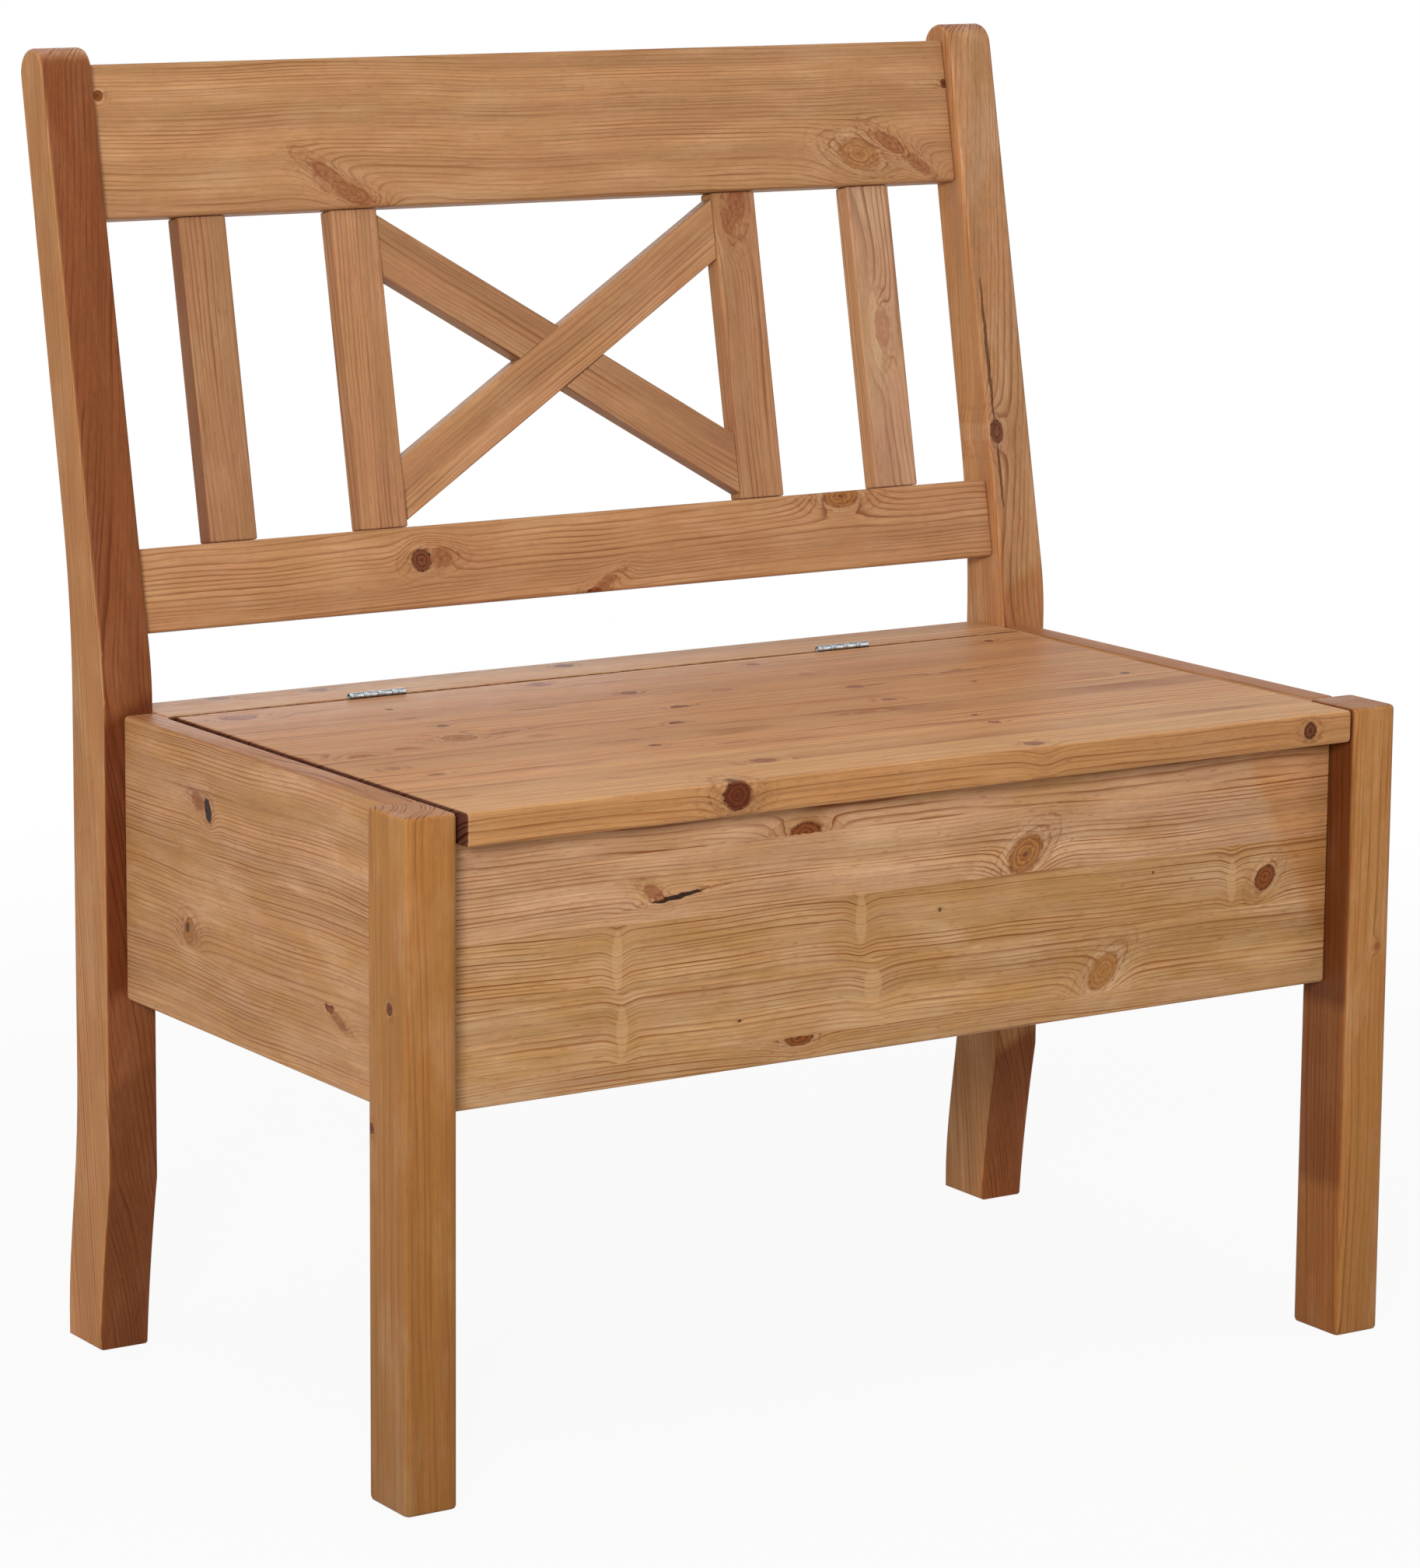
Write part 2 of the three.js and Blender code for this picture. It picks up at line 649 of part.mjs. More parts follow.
const BATTEN_Y = [PANEL_INNER_FRONT + BATTEN_END_SPACE, LID_REAR - BATTEN_END_SPACE];
const BATTEN_Z = [LID_BOTTOM - JOINT_GAP - BATTEN_THICKNESS, LID_BOTTOM - JOINT_GAP];

function battenScrews(side) {
  const depths = [BATTEN_Y[0] + BATTEN_SCREW_INSET, BATTEN_Y[1] - BATTEN_SCREW_INSET];
  return depths.map((depth) => ({
    axis: Z_AXIS.clone().negate(),
    place: new THREE.Vector3(side * BATTEN_PLACE, depth, BATTEN_Z[0]),
    size: BATTEN_SCREW,
  }));
}

// The bench, shifted so that its footprint is centred on the origin

const bench = new THREE.Group();
const backTop = backTopArc();
bench.position.y = -middle([-LID_OVERHANG, backTop.depth + backTop.radius]);

const back = new THREE.Group();
back.position.copy(backOrigin);
back.rotation.x = -RAKE;
bench.add(back);

const dowelsBySide = { left: cornerDowels(-1), right: cornerDowels(1) };
const allDowels = Object.values(dowelsBySide);

for (const { side, hand } of SIDES) {
  const dowels = dowelsBySide[hand];
  const legX = onSide([INNER_HALF, INNER_HALF + LEG_WIDTH], side);
  const leg = board({ x: legX, y: [0, LEG_DEPTH], z: [0, SEAT_HEIGHT] }, 'z', LEG_EASE);
  const legHoles = [...dowels.sideFront, ...dowels.front].map(dowelHole);
  addPiece(bench, `front_leg_${hand}`, cut(leg, legHoles), PINE);
  addPiece(bench, `rear_post_${hand}`, postGeometry(side, dowels), PINE_DARK);

  const sidePanel = board({
    x: onSide([INNER_HALF, INNER_HALF + PANEL_THICKNESS], side),
    y: [LEG_DEPTH + JOINT_GAP, POST_FRONT - JOINT_GAP],
    z: [PANEL_BOTTOM, SEAT_HEIGHT],
  }, 'y');
  const panelHoles = [...dowels.sideFront, ...dowels.sideRear].map(dowelHole);
  addPiece(bench, `side_panel_${hand}`, cut(sidePanel, panelHoles), PINE);

  for (const piece of Object.values(dowels).flat()) {
    addPiece(bench, `dowel_${piece.name}_${hand}`, dowel(piece), BEECH);
  }
}

// Front and back panels, between the legs and between the posts

const panelX = around(0, 2 * (INNER_HALF - JOINT_GAP));
const frontPanel = board({
  x: panelX,
  y: [FRONT_PANEL_SET, PANEL_INNER_FRONT],
  z: [PANEL_BOTTOM, LID_BOTTOM - REST_GAP],
}, 'x');
const frontHoles = allDowels.flatMap((dowels) => dowels.front.map(dowelHole));
addPiece(bench, 'front_panel', cut(frontPanel, frontHoles), PINE);

const backPanel = board({
  x: panelX,
  y: [PANEL_INNER_REAR, BACK_PANEL_REAR],
  z: [PANEL_BOTTOM, LID_BOTTOM - JOINT_GAP],
}, 'x');
const backHoles = allDowels.flatMap((dowels) => dowels.back.map(dowelHole));
addPiece(bench, 'back_panel', cut(backPanel, backHoles), PINE);

// Chest floor on four cleats

const cleatZ = [PANEL_BOTTOM + CLEAT_LIFT, PANEL_BOTTOM + CLEAT_LIFT + CLEAT_SIZE];
const cleatFrontY = [PANEL_INNER_FRONT + JOINT_GAP, PANEL_INNER_FRONT + JOINT_GAP + CLEAT_SIZE];
const cleatRearY = [PANEL_INNER_REAR - JOINT_GAP - CLEAT_SIZE, PANEL_INNER_REAR - JOINT_GAP];
for (const [place, y] of [['front', cleatFrontY], ['rear', cleatRearY]]) {
  const cleat = board({ x: panelX, y, z: cleatZ }, 'x', CLEAT_EASE);
  addPiece(bench, `floor_cleat_${place}`, cleat, PINE_INSIDE);
}
for (const { side, hand } of SIDES) {
  const cleat = board({
    x: onSide([INNER_HALF - JOINT_GAP - CLEAT_SIZE, INNER_HALF - JOINT_GAP], side),
    y: [cleatFrontY[1] + JOINT_GAP, cleatRearY[0] - JOINT_GAP],
    z: cleatZ,
  }, 'y', CLEAT_EASE);
  addPiece(bench, `floor_cleat_${hand}`, cleat, PINE_INSIDE);
}
const chestFloor = board({
  x: around(0, 2 * (INNER_HALF - FLOOR_SIDE_GAP)),
  y: [PANEL_INNER_FRONT + FLOOR_SIDE_GAP, PANEL_INNER_REAR - FLOOR_SIDE_GAP],
  z: [FLOOR_BOTTOM, FLOOR_BOTTOM + FLOOR_THICKNESS],
}, 'x', CLEAT_EASE);
addPiece(bench, 'chest_floor', chestFloor, PINE_INSIDE);

// Seat: the fixed rear board, the lid and its battens

const rearBoard = board({
  x: panelX,
  y: [REAR_BOARD_FRONT, BACK_PANEL_REAR],
  z: [LID_BOTTOM, SEAT_HEIGHT],
}, 'x');
addPiece(bench, 'rear_seat_board', cut(rearBoard, hingeCuts(1)), PINE);

const lid = board({
  x: around(0, 2 * LID_HALF),
  y: [-LID_OVERHANG, LID_REAR],
  z: [LID_BOTTOM, SEAT_HEIGHT],
}, 'x');
const lidScrewHoles = SIDES.flatMap(({ side }) => battenScrews(side).map(screwHole));
addPiece(bench, 'lid', cut(lid, [...hingeCuts(-1), ...lidScrewHoles]), PINE);

for (const { side, hand } of SIDES) {
  const batten = board({ x: around(side * BATTEN_PLACE, BATTEN_WIDTH), y: BATTEN_Y, z: BATTEN_Z }, 'y');
  addPiece(bench, `lid_batten_${hand}`, cut(batten, battenScrews(side).map(screwHole)), PINE_INSIDE);
  battenScrews(side).forEach((piece, index) => {
    addPiece(bench, `batten_screw_${hand}_${index + 1}`, screw(piece), ZINC);
  });
}

// Hinges with their screws

for (const { side, hand } of SIDES) {
  const place = side * HINGE_PLACE;
  addPiece(bench, `hinge_fixed_leaf_${hand}`, leafGeometry(place, 1), ZINC);
  addPiece(bench, `hinge_lid_leaf_${hand}`, leafGeometry(place, -1), ZINC);
  addPiece(bench, `hinge_pin_${hand}`, pinGeometry(place), ZINC);
  for (const { rear, leaf } of [{ rear: 1, leaf: 'fixed' }, { rear: -1, leaf: 'lid' }]) {
    hingeScrews(place, rear).forEach((piece, index) => {
      addPiece(bench, `hinge_screw_${leaf}_${hand}_${index + 1}`, screw(piece), ZINC);
    });
  }
}

// The raked back: two rails, four slats and the crossed brace

addPiece(back, 'bottom_rail', railGeometry(BOTTOM_RAIL_Z), PINE);
addPiece(back, 'top_rail', railGeometry(TOP_RAIL_Z), PINE);
for (const { name, place } of SLATS) {
  addPiece(back, name, slatGeometry(place), PINE_DARK);
}
addPiece(back, 'brace_rising', braceGeometry(1), PINE_DARK);
addPiece(back, 'brace_falling', braceGeometry(-1), PINE_DARK);

export default bench;
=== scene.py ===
"""A settle bench in stained pine: the finish of every board, the rolled hinges and a plain studio."""
import json
import math

import bmesh
import bpy
from mathutils import Matrix, Vector


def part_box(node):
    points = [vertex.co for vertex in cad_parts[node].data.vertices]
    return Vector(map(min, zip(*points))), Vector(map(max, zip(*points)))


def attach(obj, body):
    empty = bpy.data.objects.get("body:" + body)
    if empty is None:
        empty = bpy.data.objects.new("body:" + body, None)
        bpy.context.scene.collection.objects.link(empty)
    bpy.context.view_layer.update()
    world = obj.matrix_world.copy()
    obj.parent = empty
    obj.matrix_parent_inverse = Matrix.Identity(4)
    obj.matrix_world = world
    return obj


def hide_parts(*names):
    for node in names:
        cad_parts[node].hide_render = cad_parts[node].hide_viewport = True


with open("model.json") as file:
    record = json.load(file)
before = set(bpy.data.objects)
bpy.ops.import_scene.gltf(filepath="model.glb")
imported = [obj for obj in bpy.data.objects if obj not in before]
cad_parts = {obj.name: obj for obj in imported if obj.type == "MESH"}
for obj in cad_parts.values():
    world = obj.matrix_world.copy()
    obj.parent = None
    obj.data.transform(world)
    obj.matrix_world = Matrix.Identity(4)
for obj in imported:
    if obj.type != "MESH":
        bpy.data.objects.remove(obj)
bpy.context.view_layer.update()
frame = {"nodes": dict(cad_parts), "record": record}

# One millimetre in the scene's metres
MM = 0.001

# Directions in the row frame; the back leans by this slope
RAKE = math.atan(0.2)
ALONG = Vector((1, 0, 0))
DEEP = Vector((0, 1, 0))
UP = Vector((0, 0, 1))
FRONT = Vector((0, -1, 0))
BACK_UP = Vector((0, math.sin(RAKE), math.cos(RAKE)))
BACK_FRONT = Vector((0, -math.cos(RAKE), math.sin(RAKE)))
BRACE_ANGLE = math.radians(31.55)
POST_GRAIN = Vector((0, 0.1, 1)).normalized()
POST_FACE = Vector((0, -1, 0.1)).normalized()

# Nodes that the finishes use most. Inputs go by number: a Map Range runs from 1 and 2 to 3 and 4,
# which are 0 and 1 where they aren't given, and a Mix takes its share as 0 and its colours as 6 and 7
MATH = "ShaderNodeMath"
VECTOR = "ShaderNodeVectorMath"
MIX = "ShaderNodeMix"
NOISE = "ShaderNodeTexNoise"
RANGE = "ShaderNodeMapRange"
FLOAT_SOCKET = "NodeSocketFloat"
VECTOR_SOCKET = "NodeSocketVector"
COLOUR_SOCKET = "NodeSocketColor"


def colour(code):
    """Linear RGBA of an sRGB hex colour."""
    shares = [int(code[i : i + 2], 16) / 255 for i in (1, 3, 5)]
    linear = [s / 12.92 if s <= 0.04045 else ((s + 0.055) / 1.055) ** 2.4 for s in shares]
    return (*linear, 1.0)


def add(tree, kind, inputs=None, output=0, **settings):
    """Adds a node with its settings, values and links, and returns one of its outputs, or all for None."""
    node = tree.nodes.new(kind)
    for name, value in settings.items():
        setattr(node, name, value)
    for key, value in (inputs or {}).items():
        if isinstance(value, bpy.types.NodeSocket):
            tree.links.new(value, node.inputs[key])
        else:
            node.inputs[key].default_value = value
    return node.outputs if output is None else node.outputs[output]


def new_group(name, inputs, outputs):
    """An empty node group with its sockets, listed by kind, and what is given to it."""
    tree = bpy.data.node_groups.new(name, "ShaderNodeTree")
    for way, sockets in (("INPUT", inputs), ("OUTPUT", outputs)):
        for kind, labels in sockets.items():
            for label in labels:
                tree.interface.new_socket(label, in_out=way, socket_type=kind)
    return tree, add(tree, "NodeGroupInput", output=None)


def new_material(name):
    """An empty material."""
    material = bpy.data.materials.new(name)
    material.use_nodes = True
    material.node_tree.nodes.clear()
    return material


# What the table of knots gives besides two colours
KNOT_LOOKS = ("Heart cover", "Rim cover", "Flare", "Pale", "Crack")


def knot_group():
    """
    One knot: it bends the grain round itself and paints its heart, rim, flare and pale ring.
    Distances are shares of its half size, so its rim is at 1.
    """
    tree, given = new_group(
        "knot",
        {
            VECTOR_SOCKET: ("Place", "Bend", "Marks", "Centre", "Half size", "Pull", "Bulge"),
            COLOUR_SOCKET: ("Paint", "Heart", "Rim"),
            FLOAT_SOCKET: ("Grit", "Turn", "Radius", "Low", "High", *KNOT_LOOKS, "Rings"),
        },
        {VECTOR_SOCKET: ("Place", "Bend", "Marks"), COLOUR_SOCKET: ("Paint",)},
    )
    offset = add(tree, VECTOR, {0: given["Place"], 1: given["Centre"]}, operation="SUBTRACT")
    turned = {"Vector": offset, "Angle": given["Turn"]}
    turned = add(tree, "ShaderNodeVectorRotate", turned, rotation_type="Z_AXIS")
    scaled = add(tree, VECTOR, {0: turned, 1: given["Half size"]}, operation="DIVIDE")
    distance = add(tree, VECTOR, {0: scaled}, output=1, operation="LENGTH")
    across = add(tree, "ShaderNodeSeparateXYZ", {0: given["Place"]}, output=1)
    above = add(tree, MATH, {0: across, 1: given["Low"]}, operation="GREATER_THAN")
    below = add(tree, MATH, {0: across, 1: given["High"]}, operation="LESS_THAN")
    inside = add(tree, MATH, {0: above, 1: below}, operation="MULTIPLY")

    # The grain swells round the knot and closes again over about two of its lengths
    square = add(tree, MATH, {0: distance, 1: distance}, operation="MULTIPLY")
    fall = add(tree, MATH, {0: square, 1: -0.3}, operation="MULTIPLY")
    near = add(tree, MATH, {0: fall}, operation="EXPONENT")
    near = add(tree, MATH, {0: near, 1: inside}, operation="MULTIPLY")
    reach = add(tree, MATH, {0: near, 1: given["Radius"]}, operation="MULTIPLY")
    outward = add(tree, VECTOR, {0: offset}, operation="NORMALIZE")
    push = add(tree, VECTOR, {0: outward, 1: given["Pull"], 2: given["Bulge"]}, operation="MULTIPLY_ADD")
    bend = add(tree, VECTOR, {0: push, "Scale": reach}, operation="SCALE")
    # A knot beside this one is crowded a little
    place = {0: bend, 1: (0.05, 0.05, 0.05), 2: given["Place"]}
    place = add(tree, VECTOR, place, operation="MULTIPLY_ADD")
    bend = add(tree, VECTOR, {0: given["Bend"], 1: bend}, operation="ADD")

    # Heart with its own rings, a dark middle and a few checks that run out from it
    ragged = add(tree, MATH, {0: given["Grit"], 1: 0.3, 2: -0.15}, operation="MULTIPLY_ADD")
    distance = add(tree, MATH, {0: distance, 1: ragged}, operation="ADD")
    heart = add(tree, RANGE, {0: distance, 1: 1.06, 2: 0.86}, interpolation_type="SMOOTHSTEP")
    wave = add(tree, MATH, {0: distance, 1: given["Rings"]}, operation="MULTIPLY")
    wave = add(tree, MATH, {0: wave}, operation="SINE")
    wave = add(tree, RANGE, {0: wave, 1: -0.3, 2: 1.0, 4: 0.7})
    sides = add(tree, "ShaderNodeSeparateXYZ", {0: scaled}, output=None)
    side = add(tree, MATH, {0: sides[1], 1: sides[2]}, operation="ADD")
    angle = add(tree, MATH, {0: side, 1: sides[0]}, operation="ARCTAN2")
    angle = add(tree, MATH, {0: angle, 1: 1.5, 2: given["Rings"]}, operation="MULTIPLY_ADD")
    check = add(tree, MATH, {0: angle}, operation="SINE")
    check = add(tree, MATH, {0: check}, operation="ABSOLUTE")
    check = add(tree, RANGE, {0: check, 1: 0.2, 2: 0.05})
    short = add(tree, RANGE, {0: distance, 1: 0.8, 2: 0.35})
    check = add(tree, MATH, {0: check, 1: short}, operation="MULTIPLY")
    core = add(tree, RANGE, {0: distance, 1: 0.3, 2: 0.08}, interpolation_type="SMOOTHSTEP")
    check = add(tree, MATH, {0: check, 1: core}, operation="MAXIMUM")
    check = add(tree, MATH, {0: check, 1: given["Crack"]}, operation="MULTIPLY")
    dark = add(tree, MATH, {0: wave, 1: check}, operation="MAXIMUM")
    edge = add(tree, RANGE, {0: distance, 1: 0.5, 2: 1.0, 4: 0.45})
    dark = add(tree, MATH, {0: dark, 1: edge}, operation="MAXIMUM")

    # Bark rim
    rim = add(tree, MATH, {0: distance, 1: 0.97}, operation="SUBTRACT")
    rim = add(tree, MATH, {0: rim}, operation="ABSOLUTE")
    rim = add(tree, RANGE, {0: rim, 1: 0.14, 2: 0.03}, interpolation_type="SMOOTHSTEP")
    broken = add(tree, RANGE, {0: given["Grit"], 1: 0.38, 2: 0.6, 3: 0.15})
    rim = add(tree, MATH, {0: rim, 1: broken}, operation="MULTIPLY")
    rim_cover = add(tree, MATH, {0: rim, 1: given["Rim cover"]}, operation="MULTIPLY")
    dark = add(tree, MATH, {0: dark, 1: rim_cover}, operation="MAXIMUM")
    heart_cover = add(tree, MATH, {0: heart, 1: given["Heart cover"]}, operation="MULTIPLY")
    cover = add(tree, MATH, {0: heart_cover, 1: rim_cover}, operation="MAXIMUM")
    cover = add(tree, MATH, {0: cover, 1: inside}, operation="MULTIPLY")
    own = add(tree, MIX, {0: dark, 6: given["Heart"], 7: given["Rim"]}, output=2, data_type="RGBA")
    covered = add(tree, MATH, {0: cover, 1: 0.002}, operation="GREATER_THAN")
    paint = add(tree, MIX, {0: covered, 6: given["Paint"], 7: own}, output=2, data_type="RGBA")

    # Darker flare along the grain, and the pale ring of new wood round the rim
    stretched = add(tree, VECTOR, {0: scaled, 1: (0.42, 0.85, 0.6)}, operation="MULTIPLY")
    flare = add(tree, VECTOR, {0: stretched}, output=1, operation="LENGTH")
    flare = add(tree, RANGE, {0: flare, 1: 1.3, 2: 0.4, 4: 0.6}, interpolation_type="SMOOTHSTEP")
    flare = add(tree, MATH, {0: flare, 1: broken}, operation="MULTIPLY")
    # Thin dark arcs where the rings squeeze past the knot
    arcs = add(tree, VECTOR, {0: scaled, 1: (0.66, 1.0, 1.0)}, operation="MULTIPLY")
    arcs = add(tree, VECTOR, {0: arcs}, output=1, operation="LENGTH")
    arc_fade = add(tree, RANGE, {0: arcs, 1: 2.3, 2: 0.9}, interpolation_type="SMOOTHSTEP")
    arcs = add(tree, MATH, {0: arcs, 1: given["Rings"]}, operation="MULTIPLY")
    arcs = add(tree, MATH, {0: arcs, 1: 0.55}, operation="MULTIPLY")
    arcs = add(tree, MATH, {0: arcs}, operation="SINE")
    arcs = add(tree, RANGE, {0: arcs, 1: 0.3, 2: 1.0}, interpolation_type="SMOOTHSTEP")
    arcs = add(tree, MATH, {0: arcs, 1: arc_fade}, operation="MULTIPLY")
    arcs = add(tree, MATH, {0: arcs, 1: broken}, operation="MULTIPLY")
    flare = add(tree, MATH, {0: flare, 1: arcs}, operation="MAXIMUM")
    flare = add(tree, MATH, {0: flare, 1: given["Flare"]}, operation="MULTIPLY")
    flare = add(tree, MATH, {0: flare, 1: inside}, operation="MULTIPLY")
    pale = add(tree, MATH, {0: distance, 1: 1.25}, operation="SUBTRACT")
    pale = add(tree, MATH, {0: pale}, operation="ABSOLUTE")
    pale = add(tree, RANGE, {0: pale, 1: 0.28, 2: 0.05}, interpolation_type="SMOOTHSTEP")
    pale = add(tree, MATH, {0: pale, 1: given["Pale"]}, operation="MULTIPLY")
    pale = add(tree, MATH, {0: pale, 1: inside}, operation="MULTIPLY")
    marks = add(tree, "ShaderNodeCombineXYZ", {0: cover, 1: flare, 2: pale})
    marks = add(tree, VECTOR, {0: given["Marks"], 1: marks}, operation="MAXIMUM")
    made = {"Place": place, "Bend": bend, "Paint": paint, "Marks": marks}
    add(tree, "NodeGroupOutput", made, output=None)
    return tree


# How much a trunk gains in radius along its length
TAPER = 0.01
# Pale wood where the stain took least, which also stands in for the lacquer's satin sheen as painted
# sheen, and resin-soaked wood beside knots
THIN_STAIN_AND_SHEEN = "#cdab86"
RESIN = "#7d4424"


def pine_group():
    """Sawn pine as a solid: growth rings round the tree's pith, fibres and stain that took unevenly."""
    tree, given = new_group(
        "sawn pine",
        {
            VECTOR_SOCKET: ("Place", "Bend", "Marks", "Pith", "Pith spread", "Wander"),
            COLOUR_SOCKET: ("Paint", "Early", "Blush", "Late"),
            FLOAT_SOCKET: ("Stave", "Stave middle", "Seed", "Ring width", "Lines")
            + ("Tone", "Tone change", "Blush share", "Clouds"),
        },
        {COLOUR_SOCKET: ("Colour",), FLOAT_SOCKET: ("Roughness",)},
    )
    grain = add(tree, VECTOR, {0: given["Place"], 1: given["Bend"]}, operation="ADD")
    seed = add(tree, MATH, {0: given["Stave"], 1: 5.7, 2: given["Seed"]}, operation="MULTIPLY_ADD")
    # Every stave looks at its own part of the patterns
    own = add(tree, VECTOR, {0: (37, 91, 53), 1: seed, 2: grain}, operation="MULTIPLY_ADD")

    # The pith strays slowly along the trunk, and each stave was cut from its own place
    slow = add(tree, VECTOR, {0: own, 1: (1 / 240, 1 / 420, 1 / 420)}, operation="MULTIPLY")
    slow = add(tree, NOISE, {"Vector": slow, "Scale": 1.0, "Detail": 1.0}, output="Color")
    slow = add(tree, VECTOR, {0: slow, 1: (0.5, 0.5, 0.5)}, operation="SUBTRACT")
    slow = add(tree, VECTOR, {0: slow, 1: given["Wander"]}, operation="MULTIPLY")
    chance = add(tree, "ShaderNodeTexWhiteNoise", {"W": seed}, output="Color", noise_dimensions="1D")
    chance = add(tree, VECTOR, {0: chance, 1: (0.5, 0.5, 0.5)}, operation="SUBTRACT")
    chance = add(tree, VECTOR, {0: chance, 1: given["Pith spread"]}, operation="MULTIPLY")
    stave = add(tree, "ShaderNodeCombineXYZ", {1: given["Stave middle"]})
    pith = add(tree, VECTOR, {0: given["Pith"], 1: stave}, operation="ADD")
    pith = add(tree, VECTOR, {0: pith, 1: chance}, operation="ADD")
    away = add(tree, VECTOR, {0: grain, 1: pith}, operation="SUBTRACT")
    away = add(tree, VECTOR, {0: away, 1: slow}, operation="ADD")
    away = add(tree, VECTOR, {0: away, 1: (0, 1, 1)}, operation="MULTIPLY")
    radius = add(tree, VECTOR, {0: away}, output=1, operation="LENGTH")

    # The trunk tapers, rings waver a little, and there are good and bad years
    along = add(tree, "ShaderNodeSeparateXYZ", {0: grain})
    radius = add(tree, MATH, {0: along, 1: TAPER, 2: radius}, operation="MULTIPLY_ADD")
    fine = add(tree, VECTOR, {0: own, 1: (1 / 70, 1 / 16, 1 / 16)}, operation="MULTIPLY")
    fine = add(tree, NOISE, {"Vector": fine, "Scale": 1.0, "Detail": 2.0})
    radius = add(tree, MATH, {0: fine, 1: 2.4, 2: radius}, operation="MULTIPLY_ADD")
    year = add(tree, MATH, {0: radius, 1: 0.1, 2: seed}, operation="MULTIPLY_ADD")
    year = add(tree, NOISE, {"W": year, "Scale": 1.0, "Detail": 1.0}, noise_dimensions="1D")
    swing = add(tree, MATH, {0: given["Ring width"], 1: 2.0}, operation="MULTIPLY")
    radius = add(tree, MATH, {0: year, 1: swing, 2: radius}, operation="MULTIPLY_ADD")
    rings = add(tree, MATH, {0: radius, 1: given["Ring width"]}, operation="DIVIDE")
    number = add(tree, MATH, {0: rings}, operation="FLOOR")
    part = add(tree, MATH, {0: rings}, operation="FRACT")

    # Late wood darkens slowly and ends sharply, more in some years than in others
    rise = add(tree, RANGE, {0: part, 1: 0.42, 2: 0.95}, interpolation_type="SMOOTHSTEP")
    rise = add(tree, MATH, {0: rise, 1: 1.5}, operation="POWER")
    drop = add(tree, RANGE, {0: part, 1: 1.0, 2: 0.94})
    late = add(tree, MATH, {0: rise, 1: drop}, operation="MULTIPLY")
    number = add(tree, MATH, {0: number, 1: seed}, operation="ADD")
    strong = add(tree, "ShaderNodeTexWhiteNoise", {"W": number}, noise_dimensions="1D")
    strong = add(tree, RANGE, {0: strong, 3: 0.45})
    fade = add(tree, VECTOR, {0: own, 1: (1 / 130, 1 / 20, 1 / 20)}, operation="MULTIPLY")
    fade = add(tree, NOISE, {"Vector": fade, "Scale": 1.0, "Detail": 2.0})
    fade = add(tree, RANGE, {0: fade, 1: 0.38, 2: 0.6, 3: 0.25})
    late = add(tree, MATH, {0: late, 1: strong}, operation="MULTIPLY")
    late = add(tree, MATH, {0: late, 1: fade}, operation="MULTIPLY")
    band = add(tree, MATH, {0: radius, 1: 0.055, 2: seed}, operation="MULTIPLY_ADD")
    band = add(tree, NOISE, {"W": band, "Scale": 1.0, "Detail": 1.0}, noise_dimensions="1D")

    # Fibres, drawn about 1 mm wide and 50 mm long so that they show, and short resin canals
    fibre = add(tree, VECTOR, {0: own, 1: (1 / 50, 1 / 1.0, 1 / 1.0)}, operation="MULTIPLY")
    fibre = add(tree, NOISE, {"Vector": fibre, "Scale": 1.0, "Detail": 2.0, "Roughness": 0.6})
    # Streaks of denser wood, some 4 mm wide and very long
    streak = add(tree, VECTOR, {0: own, 1: (1 / 220, 1 / 4, 1 / 4)}, operation="MULTIPLY")
    streak = add(tree, NOISE, {"Vector": streak, "Scale": 1.0, "Detail": 2.0})
    canal = add(tree, VECTOR, {0: own, 1: (1 / 9, 1 / 1.1, 1 / 1.1)}, operation="MULTIPLY")
    canal = add(tree, NOISE, {"Vector": canal, "Scale": 1.0, "Detail": 0.0})
    canal = add(tree, RANGE, {0: canal, 1: 0.66, 2: 0.82, 4: 0.35})
    # Stain took unevenly, in patches some 30 to 90 mm long, with a fine mottle between
    blotch = add(tree, VECTOR, {0: own, 1: (1 / 75, 1 / 26, 1 / 26)}, operation="MULTIPLY")
    blotch = {"Vector": blotch, "Scale": 1.0, "Detail": 3.0, "Roughness": 0.55}
    blotch = add(tree, NOISE, blotch, output=None)
    mottle = add(tree, VECTOR, {0: given["Place"], 1: (1 / 9, 1 / 5, 1 / 5)}, operation="MULTIPLY")
    mottle = add(tree, NOISE, {"Vector": mottle, "Scale": 1.0, "Detail": 2.0})

    # Colours: early wood that took the stain more or less red
    hue = add(tree, "ShaderNodeSeparateColor", {0: blotch["Color"]}, output=2)
    hue = add(tree, RANGE, {0: hue, 1: 0.35, 2: 0.65, 3: -0.4, 4: 0.4})
    hue = {0: hue, 1: given["Clouds"], 2: given["Blush share"]}
    hue = add(tree, MATH, hue, operation="MULTIPLY_ADD", use_clamp=True)
    wood = add(tree, MIX, {0: hue, 6: given["Early"], 7: given["Blush"]}, output=2, data_type="RGBA")
    marks = add(tree, "ShaderNodeSeparateXYZ", {0: given["Marks"]}, output=None)
